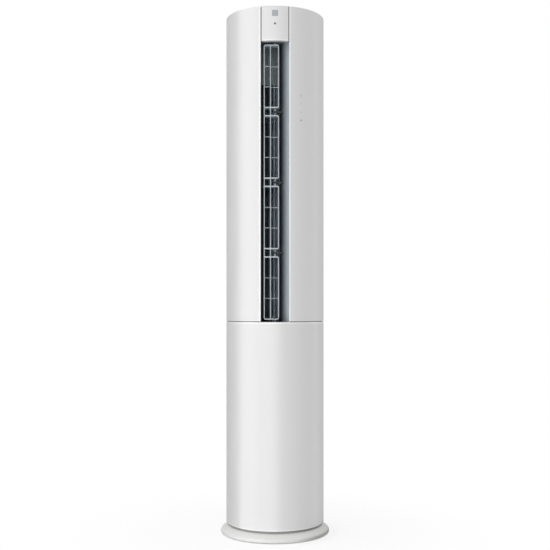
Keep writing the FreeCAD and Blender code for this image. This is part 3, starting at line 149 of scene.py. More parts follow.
class Shader(Nodes):
    """Material under construction: adds nodes and links them to the surface."""

    def __init__(self, name: str) -> None:
        """Starts a material with a plain principled surface.

        Args:
            name: the material's name.
        """
        self.material = bpy.data.materials.new(name)
        self.material.use_nodes = True
        super().__init__(self.material.node_tree)
        self.surface = self.first("BSDF_PRINCIPLED")
        self.coordinates = self.node("ShaderNodeTexCoord", output="Object")

    def noise(self, scale: float, detail: float = 3.0, stretch: Triple = (1, 1, 1)) -> Wire:
        """Noise over the piece.

        Args:
            scale: features per metre.
            detail: number of octaves.
            stretch: factor on each axis.

        Returns:
            Values around a half.
        """
        where = self.node("ShaderNodeMapping", None, {"Vector": self.coordinates, "Scale": stretch})
        return self.node("ShaderNodeTexNoise", None, {"Vector": where, "Scale": scale, "Detail": detail})

    def axis(self, name: str) -> Wire:
        """One of the object coordinates X, Y or Z."""
        return self.node("ShaderNodeSeparateXYZ", None, [self.coordinates], name)

    def blend(self, share: Any, first: Any, second: Any) -> Wire:
        """Mix of two colours by a share from 0 to 1."""
        return self.node("ShaderNodeMix", {"data_type": "RGBA"}, {0: share, 6: first, 7: second}, 2)

    def spread(self, value: Wire, low: float, high: float) -> Wire:
        """Stretches noise, which lies mostly between 0.3 and 0.7, to a range."""
        return self.node("ShaderNodeMapRange", None, [value, 0.3, 0.7, low, high])

    def patches(self, scale: float, detail: float, most: float = 1.0) -> Wire:
        """Soft patches, from 0 up to a most."""
        return self.spread(self.noise(scale, detail), 0.0, most)

    def ragged(self, value: Wire, scale: float, width: float) -> Wire:
        """A place that wanders over a width, for an uneven edge."""
        return value + (self.noise(scale, detail=4.0) - 0.5) * width

    def bump(self, height: Wire, strength: float, distance: float) -> None:
        """Feeds a bump to the surface's normal."""
        normal = self.node("ShaderNodeBump", None, {"Strength": strength, "Distance": distance, "Height": height})
        self.set(Normal=normal)

    def mould(self) -> None:
        """Adds the fine texture of a plastic mould."""
        self.bump(self.noise(scale=900.0, detail=2.0), strength=0.25, distance=0.00004)

    def set(self, **values: Any) -> None:
        """Sets or links the surface's sockets; an underscore stands for a space."""
        for name, value in values.items():
            self.feed(self.surface.inputs[name.replace("_", " ")], value)


PLASTIC_IOR = 1.48


@dataclass(frozen=True)
class Plastic:
    """Moulded plastic with a fine mould texture and faint handling marks."""

    name: str
    colour: Colour
    roughness: float = 0.35
    coat: float = 0.0
    shine: float = 0.5
    unevenness: float = 0.12
    mottle: float = 0.02
    dust: float = 0.0
    dust_grey: float = 0.34

    def build(self) -> bpy.types.Material:
        """Makes the material.

        Returns:
            The material.
        """
        shader = Shader(self.name)
        darker = tuple(c * (1 - self.mottle) for c in self.colour[:3]) + self.colour[3:]
        colour = shader.blend(shader.patches(scale=3.5, detail=4.0), self.colour, darker)
        if self.dust > 0:
            colour = shader.blend(shader.patches(scale=40.0, detail=5.0, most=self.dust), colour, tone(self.dust_grey))
        streaks = shader.noise(scale=30.0, stretch=(1.0, 1.0, 0.15))
        smoothest, roughest = (self.roughness * (1 + sign * self.unevenness) for sign in (-1, 1))
        shader.set(Base_Color=colour, Coat_Weight=self.coat, Coat_Roughness=0.12, IOR=PLASTIC_IOR,
                   Specular_IOR_Level=self.shine, Roughness=shader.spread(streaks, smoothest, roughest))
        shader.mould()
        return shader.material


@dataclass(frozen=True)
class ShadedDuctWall:
    """Outlet wall: pale plastic at the mouth, with painted shade that darkens it deeper inside, where it is also
    rougher.
    """

    name: str
    pale: Colour
    dark: Colour
    mouth: float = -0.156
    deep: float = -0.118
    unevenness: float = 0.006
    roughness: float = 0.4
    deep_roughness: float = 0.75

    def build(self) -> bpy.types.Material:
        """Makes the material.

        Returns:
            The material.
        """
        shader = Shader(self.name)
        edge = shader.ragged(shader.axis("Y"), scale=45.0, width=self.unevenness)
        # Painted shade: the colour goes from pale to dark with depth along Y, over a ragged boundary.
        depth_shade = shader.step(edge, self.mouth, self.deep)
        shader.set(Base_Color=shader.blend(depth_shade, self.pale, self.dark),
                   Roughness=depth_shade * (self.deep_roughness - self.roughness) + self.roughness)
        shader.bump(shader.noise(scale=1400.0), strength=0.3, distance=0.0001)
        return shader.material


@dataclass(frozen=True)
class Skirt:
    """Satin plastic of the plinth, with painted shade in the groove under the panels."""

    name: str
    colour: Colour
    crease_shade: Colour
    crease_radius: float = 0.1680
    unshaded_radius: float = 0.1745
    unevenness: float = 0.0015
    roughness: float = 0.5
    roughness_play: float = 0.05

    def build(self) -> bpy.types.Material:
        """Makes the material.

        Returns:
            The material.
        """
        shader = Shader(self.name)
        flat = shader.node("ShaderNodeVectorMath", {"operation": "MULTIPLY"}, [shader.coordinates, (1, 1, 0)])
        radius = shader.node("ShaderNodeVectorMath", {"operation": "LENGTH"}, [flat], "Value")
        edge = shader.ragged(radius, scale=60.0, width=self.unevenness)
        # Painted shade: the colour darkens near the axis and fades out between the two radii, for the shade in the
        # groove under the panels.
        unshaded = shader.step(edge, self.crease_radius, self.unshaded_radius)
        streaks = shader.noise(scale=40.0, detail=4.0, stretch=(1.0, 1.0, 0.3))
        smoothest, roughest = self.roughness - self.roughness_play, self.roughness + self.roughness_play
        shader.set(Base_Color=shader.blend(unshaded, self.crease_shade, self.colour), IOR=PLASTIC_IOR,
                   Roughness=shader.spread(streaks, smoothest, roughest))
        shader.mould()
        return shader.material


@dataclass(frozen=True)
class Metal:
    """Sheet or turned metal with brushed streaks and a few dull patches."""

    name: str
    colour: Colour
    roughness: float = 0.35
    smoothest: float = 0.75
    roughest: float = 1.3
    streak: Triple = (1.0, 1.0, 0.05)
    tarnish: Colour = (0.25, 0.24, 0.23, 1.0)
    tarnish_share: float = 0.15

    def build(self) -> bpy.types.Material:
        """Makes the material.

        Returns:
            The material.
        """
        shader = Shader(self.name)
        lines = shader.noise(scale=420.0, stretch=self.streak)
        dull = shader.patches(scale=18.0, detail=5.0, most=self.tarnish_share)
        shader.set(Base_Color=shader.blend(dull, self.colour, self.tarnish), Metallic=1.0,
                   Roughness=shader.spread(lines, self.roughness * self.smoothest, self.roughness * self.roughest))
        shader.bump(lines, strength=0.15, distance=0.00005)
        return shader.material


@dataclass(frozen=True)
class Fins:
    """Aluminium fin stack: thin level edges with painted shade in the gaps between them."""

    name: str
    pitch: float = 0.0032
    wobble: float = 0.0006
    edge: Colour = (0.74, 0.77, 0.80, 1.0)
    # Colour of the gaps between the fins: painted shade.
    gap: Colour = (0.045, 0.05, 0.055, 1.0)

    def build(self) -> bpy.types.Material:
        """Makes the material.

        Returns:
            The material.
        """
        shader = Shader(self.name)
        phase = (shader.axis("Z") + shader.noise(scale=25.0, detail=2.0) * self.wobble) / self.pitch
        fin = shader.step(phase.zigzag(), low=0.30, high=0.62)
        bent = shader.spread(shader.noise(scale=60.0, detail=4.0), low=0.75, high=1.0)
        shader.set(Base_Color=shader.blend(fin * bent, self.gap, self.edge), Metallic=fin,
                   Roughness=shader.spread(shader.noise(scale=300.0), low=0.28, high=0.42))
        shader.bump(fin, strength=0.8, distance=0.0012)
        return shader.material


@dataclass(frozen=True)
class Net:
    """Woven nylon net round the cabinet's axis: crossing threads with open gaps between them."""

    name: str
    pitch: float = 0.0016
    radius: float = 0.169
    thread: Colour = (0.055, 0.058, 0.062, 1.0)
    lint: Colour = tone(0.2)

    def build(self) -> bpy.types.Material:
        """Makes the material.

        Returns:
            The material.
        """
        shader = Shader(self.name)
        around = shader.axis("X").math("ARCTAN2", shader.axis("Y")) * self.radius
        upright, level = (shader.step((place / self.pitch).zigzag(), low=0.42, high=0.62)
                          for place in (around, shader.axis("Z")))
        net = upright.math("MAXIMUM", level)
        dusty = shader.patches(scale=35.0, detail=5.0, most=0.4)
        shader.set(Base_Color=shader.blend(dusty, self.thread, self.lint), Alpha=net, Roughness=0.6)
        shader.bump(net, strength=0.5, distance=0.0003)
        return shader.material


@dataclass(frozen=True)
class Board:
    """Printed circuit board with tracks under a green lacquer."""

    name: str
    lacquer: Colour = (0.012, 0.10, 0.045, 1.0)
    track: Colour = (0.03, 0.21, 0.085, 1.0)

    def build(self) -> bpy.types.Material:
        """Makes the material.

        Returns:
            The material.
        """
        shader = Shader(self.name)
        where = shader.node("ShaderNodeMapping", None, {"Vector": shader.coordinates, "Scale": (1, 1, 0.4)})
        cells = shader.node("ShaderNodeTexVoronoi", {"distance": "CHEBYCHEV", "feature": "F1"},
                            {"Vector": where, "Scale": 170.0})
        tracks = shader.step(cells, low=0.38, high=0.44)
        shader.set(Base_Color=shader.blend(tracks, self.lacquer, self.track), Roughness=0.3, Coat_Weight=0.4)
        shader.bump(tracks, strength=0.3, distance=0.0001)
        return shader.material


@dataclass(frozen=True)
class Rubber:
    """Black rubber with a dull bloom."""

    name: str
    colour: Colour = (0.022, 0.022, 0.023, 1.0)
    bloom: Colour = tone(0.075)
    roughness: float = 0.68
    roughness_play: float = 0.08

    def build(self) -> bpy.types.Material:
        """Makes the material.

        Returns:
            The material.
        """
        shader = Shader(self.name)
        dull = shader.patches(scale=55.0, detail=5.0, most=0.3)
        smoothest, roughest = self.roughness - self.roughness_play, self.roughness + self.roughness_play
        shader.set(Base_Color=shader.blend(dull, self.colour, self.bloom),
                   Roughness=shader.spread(shader.noise(scale=120.0), smoothest, roughest))
        shader.bump(shader.noise(scale=1100.0, detail=2.0), strength=0.3, distance=0.00008)
        return shader.material


class Finish(Enum):
    """Every finish of the air conditioner."""

    CABINET = Plastic("cabinet_white", tone(0.82), roughness=0.36, mottle=0.012)
    # Lighter white with a glossy coat for rounded edges: a painted highlight for the light they catch.
    EDGE = Plastic("edge_painted_highlight", tone(0.93), roughness=0.3, coat=0.8, mottle=0.01)
    # The second colour is painted shade for the groove under the panels.
    PLINTH = Skirt("plinth_white", (0.815, 0.815, 0.80, 1.0), (0.34, 0.34, 0.33, 1.0))
    GRILLE = Plastic("grille_white", tone(0.79), roughness=0.38, mottle=0.02)
    LOUVER = Plastic("louver_grey", (0.455, 0.505, 0.535, 1.0), roughness=0.42, mottle=0.03)
    # Duct wall with painted shade that darkens it deeper inside.
    DUCT = ShadedDuctWall("duct_depth_shaded", (0.275, 0.318, 0.352, 1.0), (0.011, 0.018, 0.029, 1.0))
    ARM = Plastic("arm_dark", (0.017, 0.021, 0.028, 1.0), roughness=0.7, shine=0.3, mottle=0.06)
    VOLUTE = Plastic("volute_dark", (0.014, 0.020, 0.032, 1.0), roughness=0.7, shine=0.3, mottle=0.1, dust=0.05)
    FAN = Plastic("fan_grey", (0.125, 0.168, 0.215, 1.0), roughness=0.5, mottle=0.08, dust=0.15)
    DECK = Plastic("deck_grey", (0.19, 0.245, 0.255, 1.0), roughness=0.6, mottle=0.08, dust=0.1)
    WINDOW = Plastic("window_grey", (0.31, 0.35, 0.36, 1.0), roughness=0.2, coat=0.25, mottle=0.03)
    LENS = Plastic("lens_dark", (0.01, 0.008, 0.01, 1.0), roughness=0.25, shine=0.2, mottle=0.05)
    MARK = Plastic("key_mark_grey", (0.44, 0.46, 0.49, 1.0), roughness=0.4, mottle=0.03)
    FRAME = Plastic("filter_frame_dark", (0.055, 0.058, 0.062, 1.0), roughness=0.5, mottle=0.06, dust=0.1)
    PAN = Plastic("pan_white", (0.62, 0.62, 0.61, 1.0), roughness=0.6, mottle=0.06, dust=0.1)
    TERMINAL = Plastic("terminal_black", (0.025, 0.025, 0.027, 1.0), roughness=0.45)
    NET = Net("filter_net")
    FINS = Fins("fin_stack")
    BOARD = Board("circuit_board")
    RUBBER = Rubber("black_rubber")
    STEEL = Metal("galvanised_steel", (0.56, 0.57, 0.58, 1.0), roughness=0.4)
    MOTOR = Metal("motor_case", (0.34, 0.35, 0.36, 1.0), roughness=0.45, streak=(0.1, 0.1, 1.0))
    COPPER = Metal("copper_tube", (0.78, 0.38, 0.22, 1.0), roughness=0.3, tarnish=(0.22, 0.10, 0.06, 1.0),
                   tarnish_share=0.4)
    BRASS = Metal("turned_brass", (0.80, 0.60, 0.26, 1.0), roughness=0.25, streak=(0.1, 0.1, 1.0))
    SCREW = Metal("zinc_screw", (0.60, 0.61, 0.62, 1.0), roughness=0.3, streak=(1.0, 1.0, 1.0))

    def material(self) -> bpy.types.Material:
        """The finish's material, made at its first use.

        Returns:
            The material.
        """
        name = self.value.name + "_finish"
        found = bpy.data.materials.get(name)
        if found is None:
            found = self.value.build()
            found.name = name
        return found


class Body(Enum):
    """The bodies that pieces ride on."""

    CABINET = "cabinet"
    LOUVER = "louver"
    GRILLE = "rear_grille"


def polar(radius: float, degrees: float, height: float = 0.0) -> Vector:
    """Point on a circle round the cabinet's axis, by its angle from the front towards the right."""
    turn = math.radians(degrees)
    return Vector((radius * math.sin(turn), -radius * math.cos(turn), height))


def arc(middle: Point, radii: Point, first: float, last: float, steps: int) -> list[Point]:
    """Points of an elliptic arc.

    Args:
        middle: its middle.
        radii: half its width and half its height; a negative one mirrors it.
        first: angle of the first point in degrees.
        last: angle of the last point.
        steps: number of steps between them.

    Returns:
        The points in order.
    """
    turns = [math.radians(first + (last - first) * i / steps) for i in range(steps + 1)]
    return [(middle[0] + radii[0] * math.cos(turn), middle[1] + radii[1] * math.sin(turn)) for turn in turns]


def quarter(x: float, z: float, radius: float, first: float) -> list[Point]:
    """Points of a quarter circle round a middle, anticlockwise from an angle in degrees."""
    return arc((x, z), (radius, radius), first, first + 90, steps=5)


def sweep(first: float, last: float, step: float) -> list[float]:
    """Even angles from first to last, about a step apart."""
    count = max(2, int(abs(last - first) / step) + 1)
    return [first + (last - first) * i / (count - 1) for i in range(count)]


class Bench:
    """Modelling bench: makes and shapes pieces with Blender's own tools."""

    weld: float = 0.00001
    sharp: float = 38.0

    @staticmethod
    def clear() -> None:
        """Goes to object mode, with nothing selected."""
        if bpy.context.object is not None and bpy.context.object.mode != "OBJECT":
            bpy.ops.object.mode_set(mode="OBJECT")
        bpy.ops.object.select_all(action="DESELECT")

    @staticmethod
    def hold(piece: Piece) -> None:
        """Selects one piece alone and makes it active.

        Args:
            piece: the piece.
        """
        Bench.clear()
        piece.select_set(True)
        bpy.context.view_layer.objects.active = piece

    @staticmethod
    @contextmanager
    def editing(piece: Piece) -> Iterator[None]:
        """Edit mode on one piece, with all of it selected.

        Args:
            piece: the piece.

        Yields:
            Nothing, while the edit lasts.
        """
        Bench.hold(piece)
        bpy.ops.object.mode_set(mode="EDIT")
        bpy.ops.mesh.select_all(action="SELECT")
        yield
        bpy.ops.object.mode_set(mode="OBJECT")

    @staticmethod
    @contextmanager
    def picking(piece: Piece, kind: str, test: Callable[[Any], bool]) -> Iterator[None]:
        """Edit mode on one piece, with some of its faces or corners selected.

        Args:
            piece: the piece.
            kind: FACE or VERT.
            test: takes a face or a corner.

        Yields:
            Nothing, while the edit lasts.
        """
        with Bench.editing(piece):
            bpy.ops.mesh.select_mode(type=kind)
            bpy.ops.mesh.select_all(action="DESELECT")
        for part in piece.data.polygons if kind == "FACE" else piece.data.vertices:
            part.select = test(part)
        bpy.ops.object.mode_set(mode="EDIT")
        yield
        bpy.ops.object.mode_set(mode="OBJECT")

    @staticmethod
    def outline(name: str, points: Sequence[Vector], filled: bool = True) -> Piece:
        """Adds a ring of points and shapes it to an outline.

        Args:
            name: the piece's name.
            points: the outline's corners in order.
            filled: whether the ring holds a face.

        Returns:
            The piece.
        """
        Bench.clear()
        bpy.ops.mesh.primitive_circle_add(vertices=len(points), radius=1.0, location=(0, 0, 0),
                                          fill_type="NGON" if filled else "NOTHING")
        piece = bpy.context.object
        for vertex, point in zip(piece.data.vertices, points):
            vertex.co = point
        return Bench.unite(name, [piece])

    @staticmethod
    def cylinder(radius: float, depth: float, place: Sequence[float], lying: bool = False, sides: int = 32) -> Piece:
        """Adds a cylinder to start a piece from.

        Args:
            radius: its radius.
            depth: its length.
            place: its middle.
            lying: whether it lies from front to back.
            sides: number of its sides.

        Returns:
            The cylinder.
        """
        Bench.clear()
        bpy.ops.mesh.primitive_cylinder_add(vertices=sides, radius=radius, depth=depth, location=place,
                                            rotation=(math.pi / 2 if lying else 0, 0, 0))
        return Bench.settle(bpy.context.object)

    @staticmethod
    def block(size: Triple, place: Triple) -> Piece:
        """Adds a block to start a piece from.

        Args:
            size: its width, depth and height.
            place: its middle.

        Returns:
            The block.
        """
        Bench.clear()
        bpy.ops.mesh.primitive_cube_add(size=1, location=place)
        bpy.context.object.scale = size
        return Bench.settle(bpy.context.object)

    @staticmethod
    def close_up(piece: Piece) -> Piece:
        """Merges doubles and turns the faces outwards.

        Args:
            piece: the piece.

        Returns:
            The piece.
        """
        with Bench.editing(piece):
            bpy.ops.mesh.remove_doubles(threshold=Bench.weld)
            bpy.ops.mesh.normals_make_consistent(inside=False)
        return piece

    @staticmethod
    def extrude(piece: Piece, move: Vector) -> Piece:
        """Extrudes a flat outline into a closed solid.

        Args:
            piece: a piece with flat faces.
            move: direction and length.

        Returns:
            The piece.
        """
        with Bench.editing(piece):
            bpy.ops.mesh.extrude_region_move(TRANSFORM_OT_translate={"value": move})
        return Bench.close_up(piece)

    @staticmethod
    def lathe(name: str, profile: Sequence[Point], first: float = 0.0, last: float = 360.0, steps: int = 128) -> Piece:
        """Spins a closed profile round the cabinet's axis, and closes the ends of a part turn.

        Args:
            name: the piece's name.
            profile: radius and height of each corner of the profile.
            first: angle of the first end from the front.
            last: angle of the last end.
            steps: number of steps round the axis.

        Returns:
            The piece.
        """
        piece = Bench.outline(name, [polar(radius, first, height) for radius, height in profile], filled=False)
        with Bench.editing(piece):
            bpy.ops.mesh.spin(steps=steps, angle=math.radians(first - last), center=(0, 0, 0), axis=(0, 0, 1))
            if last - first < 360:
                bpy.ops.mesh.select_all(action="SELECT")
                bpy.ops.mesh.fill_holes(sides=0)
        return Bench.close_up(piece)

    @staticmethod
    def raise_faces(piece: Piece, test: Callable[[Vector, Vector], bool], move: Vector) -> Piece:
        """Extrudes some faces.

        Args:
            piece: the piece.
            test: takes a face's middle and normal.
            move: direction and length.

        Returns:
            The piece.
        """
        with Bench.picking(piece, "FACE", lambda face: test(face.center, face.normal)):
            bpy.ops.mesh.extrude_region_move(TRANSFORM_OT_translate={"value": move})
        return piece

    @staticmethod
    def connect(piece: Piece, first: Vector, second: Vector) -> Piece:
        """Cuts a flat face from one of its corners to another.

        Args:
            piece: the piece.
            first: place of one corner.
            second: place of the other corner.

        Returns:
            The piece.
        """
        with Bench.picking(piece, "VERT", lambda corner: any(
                (corner.co - end).length < Bench.weld / 10 for end in (first, second))):
            bpy.ops.mesh.vert_connect()
        return piece

    @staticmethod
    def polish(piece: Piece, finish: Finish, test: Callable[[Vector, Vector], bool]) -> Piece:
        """Gives a second finish to some faces.

        Args:
            piece: the piece.
            finish: the second finish.
            test: takes a face's middle and normal.

        Returns:
            The piece.
        """
        piece.data.materials.append(finish.material())
        for face in piece.data.polygons:
            if test(face.center, face.normal):
                face.material_index = len(piece.data.materials) - 1
        return piece

    @staticmethod
    def add_modifier(piece: Piece, kind: str, **settings: Any) -> bpy.types.Modifier:
        """Adds a modifier.

        Args:
            piece: the piece.
            kind: the modifier's type.
            settings: its settings.

        Returns:
            The modifier.
        """
        modifier = piece.modifiers.new(kind.lower(), kind)
        for name, value in settings.items():
            setattr(modifier, name, value)
        return modifier

    @staticmethod
    def modify(piece: Piece, kind: str, **settings: Any) -> Piece:
        """Adds a modifier and applies it.

        Args:
            piece: the piece.
            kind: the modifier's type.
            settings: its settings.

        Returns:
            The piece.
        """
        Bench.hold(piece)
        bpy.ops.object.modifier_apply(modifier=Bench.add_modifier(piece, kind, **settings).name)
        return piece

    @staticmethod
    def soften(piece: Piece, width: float, segments: int = 2, cutters: Iterable[Piece] = ()) -> Piece:
        """Rounds a piece's sharp edges, cuts other pieces out of it and smooths its shading.

        Args:
            piece: the piece.
            width: width of the rounding.
            segments: number of faces across it.
            cutters: the other pieces; the edges they leave stay sharp.

        Returns:
            The piece.
        """
        Bench.modify(piece, "BEVEL", width=width, segments=segments, limit_method="ANGLE",
                     angle_limit=math.radians(Bench.sharp), use_clamp_overlap=True, miter_outer="MITER_ARC")
        Bench.smooth(Bench.close_up(Bench.cut(piece, cutters)), Bench.sharp)
        return Bench.modify(piece, "WEIGHTED_NORMAL", keep_sharp=True)

    @staticmethod
    def smooth(piece: Piece, angle: float) -> Piece:
        """Smooths the shading up to an angle.

        Args:
            piece: the piece.
            angle: the angle in degrees.

        Returns:
            The piece.
        """
        Bench.hold(piece)
        bpy.ops.object.shade_smooth_by_angle(angle=math.radians(angle))
        return piece

    @staticmethod
    def cut(piece: Piece, cutters: Iterable[Piece], operation: str = "DIFFERENCE") -> Piece:
        """Cuts other pieces out of a piece, or melts them into it, and removes them.

        Args:
            piece: the piece.
            cutters: the other pieces.
            operation: DIFFERENCE or UNION.

        Returns:
            The piece.
        """
        for cutter in cutters:
            Bench.modify(piece, "BOOLEAN", operation=operation, object=cutter, solver="EXACT")
            bpy.data.objects.remove(cutter)
        return piece

    @staticmethod
    def settle(piece: Piece) -> Piece:
        """Puts a piece's place, turn and scale into its mesh.

        Args:
            piece: the piece.

        Returns:
            The piece.
        """
        Bench.hold(piece)
        bpy.ops.object.transform_apply(location=True, rotation=True, scale=True)
        return piece

    @staticmethod
    def put(piece: Piece, place: Sequence[float], turn: Triple) -> Piece:
        """Turns a piece and moves it to a place, in its mesh.

        Args:
            piece: the piece.
            place: where its origin goes.
            turn: its turn about each axis in degrees.

        Returns:
            The piece.
        """
        piece.location = place
        piece.rotation_euler = [math.radians(angle) for angle in turn]
        return Bench.settle(piece)

    @staticmethod
    def copies(first: Piece, places: Iterable[tuple[Sequence[float], Triple]]) -> list[Piece]:
        """Copies a piece, each copy with its own mesh, and removes the first.

        Args:
            first: the piece.
            places: place and turn of each copy.

        Returns:
            The copies.
        """
        made = []
        for place, turn in places:
            copy = first.copy()
            copy.data = first.data.copy()
            bpy.context.scene.collection.objects.link(copy)
            made.append(Bench.put(copy, place, turn))
        bpy.data.objects.remove(first)
        return made

    @staticmethod
    def unite(name: str, pieces: Sequence[Piece]) -> Piece:
        """Joins pieces into one object.

        Args:
            name: its name.
            pieces: the pieces, or one alone, which is only named.

        Returns:
            The object.
        """
        Bench.clear()
        for piece in pieces:
            piece.select_set(True)
        bpy.context.view_layer.objects.active = pieces[0]
        if len(pieces) > 1:
            bpy.ops.object.join()
        pieces[0].name = pieces[0].data.name = name
        return pieces[0]

    @staticmethod
    def dress(piece: Piece, finish: Finish, body: Body, slot: str, stands_for: Sequence[str] = ()) -> Piece:
        """Finishes a piece and puts it on its body.

        Args:
            piece: the piece.
            finish: its finish.
            body: the body it rides on.
            slot: not used.
            stands_for: nodes that it replaces.

        Returns:
            The piece.
        """
        piece.data.materials.clear()
        piece.data.materials.append(finish.material())
        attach(piece, body.value)
        if stands_for:
            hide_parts(*stands_for)
        log.info("piece %s: %d faces, rides on %s", piece.name, len(piece.data.polygons), body.value)
        return piece


@dataclass
class Cabinet:
    """White outer shells, the plinth, the cap and the top cover."""

    radius: float = 0.176
    wall: float = 0.0035
    height: float = 1.850
    fit: float = 0.0003
    step: float = 1.5
    margin: float = 0.0002
    seam: float = 0.7615
    seam_gap: float = 0.002
    bottom: float = 0.039
    lower_band: float = 0.0035
    lower_split: float = 100.0
    lower_round: float = 0.0009
    split_gap: float = 0.4
    roll_height: float = 0.0055
    roll_depth: float = 0.0031
    holes: tuple[Point, ...] = ((0.150, 0.0363), (0.082, 0.0093))
    hole_depth: float = 0.08
    slot_half: float = 0.0492
    slot_top: float = 1.7327
    slot_roll: float = 0.0014
    slot_band: float = 0.0042
    return_depth: float = 0.012
    return_margin: float = 0.003
    rear_half: float = 0.144
    upper_round: float = 0.0012
    upward: float = 0.9
    highlight_front: float = 0.15
    highlight_level: float = 0.6
    cap_height: float = 0.1205
    cap_lip: float = 0.0175
    cap_round: float = 0.0004
    lip_out: float = 0.0009
    lip_low: float = 0.0006
    lip_high: float = 0.0012
    lip_highlight_front: float = 0.1
    joint_gap: float = 0.0026
    window_height: float = 1.825
    window_size: float = 0.0206
    window_depth: float = 0.0034
    lens_height: float = 1.789
    lens_radius: float = 0.0034
    lens_depth: float = 0.02
    # Sizes of the dark beads in the cap's joints, which put painted shade into the gaps.
    bead_play: float = 0.0001
    bead_sink: float = 0.0011
    bead_drop: float = 0.0006
    bead_round: float = 0.0003
    plinth_radius: float = 0.1955
    plinth_wall: float = 0.003
    plinth_rim: float = 0.007
    plinth_lift: float = 0.0025
    plinth_groove: float = 0.0055
    plinth_shoulder: float = 0.002
    plinth_edge: float = 0.0018
    flare_angle: float = 55.0
    hollow_share: float = 0.4
    neck_overlap: float = 0.014
    flange_radius: float = 0.168
    flange_low: float = 0.008
    flange_high: float = 0.011
    lid_wall: float = 0.004
    lid_skirt: float = 0.016
    lid_base: float = 0.007
    lid_round: float = 0.0016
    dish_width: float = 0.012
    dish_depth: float = 0.003
    dish_steps: int = 8
    pole: float = 0.0001

    def lower(self) -> None:
        """Lower front and rear shells with a rolled upper edge; the rear one has holes for the pipes and the cord."""
        top = self.seam - self.seam_gap / 2
        inner = self.radius - self.wall
        profile = [(inner, self.bottom), (self.radius, self.bottom), (self.radius, self.bottom + self.lower_band)]
        profile += arc((self.radius - self.roll_depth, top - self.roll_height), (self.roll_depth, self.roll_height),
                       first=0, last=90, steps=6)
        profile.append((inner, top))
        front, rear = self.lower_split, self.lower_split + self.split_gap
        for side, first, last in (("lower_front", -front, front), ("lower_rear", rear, 360 - rear)):
            piece = Bench.lathe(side + "_shell", profile, first, last, int((last - first) / self.step))
            cutters = [Bench.cylinder(radius, self.hole_depth, (0, self.radius, height), lying=True, sides=64)
                       for height, radius in self.holes if side == "lower_rear"]
            Bench.soften(piece, self.lower_round, cutters=cutters)
            Bench.dress(piece, Finish.CABINET, Body.CABINET, "cabinet_white", [side + "_panel"])
            # The rolled upper edge and a narrow band at the bottom get a lighter finish: a painted highlight.
            Bench.polish(piece, Finish.EDGE, lambda middle, normal:
                         (middle.z > top - self.roll_height - self.margin or middle.z < self.bottom + self.lower_band)
                         and math.hypot(middle.x, middle.y) > inner + self.margin / 2)

    def upper(self) -> None:
        """Upper side shells, rolled in beside the outlet."""
        low = self.seam + self.seam_gap / 2
        inner, roll = self.radius - self.wall, self.slot_roll
        rear = 180 - math.degrees(math.asin(self.rear_half / self.radius))
        centre_x = self.slot_half + roll
        centre_y = -math.sqrt((self.radius - roll) ** 2 - centre_x ** 2)
        touch = math.degrees(math.atan2(centre_x, -centre_y))
        rolled = [(centre_x + roll * math.sin(math.radians(turn)), centre_y - roll * math.cos(math.radians(turn)))
                  for turn in sweep(touch, -90, step=12)]
        back = self.return_depth - math.sqrt(self.radius ** 2 - self.slot_half ** 2)
        inside = self.slot_half + self.wall
        corner = (inside, -math.sqrt(inner ** 2 - inside ** 2))
        start = math.degrees(math.atan2(corner[0], -corner[1]))
        band = touch + math.degrees(self.slot_band / self.radius)
        highlight_x = self.radius * math.sin(math.radians(band))
        section = [tuple(polar(self.radius, turn).xy) for turn in sweep(rear, band, self.step)] + rolled
        section += [(self.slot_half, back), (inside, back)]
        section += [tuple(polar(inner, turn).xy) for turn in sweep(start, rear, self.step)]
        split = min(rolled, key=lambda point: abs(math.hypot(*point) - inner))
        for side, name in ((-1, "upper_left"), (1, "upper_right")):
            piece = Bench.outline(name + "_shell", [Vector((side * x, y, low)) for x, y in section])
            Bench.connect(piece, *(Vector((side * x, y, low)) for x, y in (split, corner)))
            Bench.extrude(piece, Vector((0, 0, self.slot_top - low)))
            Bench.raise_faces(piece, lambda middle, normal: normal.z > self.upward
                              and abs(middle.x) > inside + self.return_margin,
                              Vector((0, 0, self.height - self.slot_top)))
            Bench.soften(Bench.close_up(piece), self.upper_round, segments=3)
            Bench.dress(piece, Finish.CABINET, Body.CABINET, "cabinet_white", [name + "_panel"])
            # The rolled strip beside the outlet gets a lighter finish: a painted highlight.
            Bench.polish(piece, Finish.EDGE, lambda middle, normal: abs(middle.x) < highlight_x
                         and normal.y < -self.highlight_front and abs(normal.z) < self.highlight_level)

    def cap(self) -> None:
        """Cap above the outlet with a lip at its lower edge that gets a painted highlight, a window recess and a lens
        hole.
        """
        half = math.degrees(math.asin((self.slot_half - self.joint_gap) / self.radius))
        low = self.height - self.cap_height
        inner, bulge, back = self.radius - self.wall, self.radius + self.lip_out, self.radius - self.cap_lip
        profile = [(inner, self.height), (inner, low + self.wall), (back, low + self.wall), (back, low),
                   (self.radius, low), (bulge, low + self.lip_low), (bulge, low + self.lip_high),
                   (self.radius, low + self.roll_height), (self.radius, self.height)]
        piece = Bench.lathe("cap_shell", profile, -half, half, steps=24)
        recess = Bench.block((self.window_size, self.window_depth, self.window_size),
                             (0, -self.radius, self.window_height))
        hole = Bench.cylinder(self.lens_radius, self.lens_depth, (0, -self.radius, self.lens_height), lying=True)
        Bench.soften(Bench.cut(piece, [recess, hole]), self.cap_round)
        Bench.dress(piece, Finish.CABINET, Body.CABINET, "cabinet_white", ["cap_panel"])
        # The lip's lower rounded band gets a lighter finish: a painted highlight.
        Bench.polish(piece, Finish.EDGE, lambda middle, normal: normal.y < -self.lip_highlight_front
                     and middle.z < low + self.roll_height + self.margin)

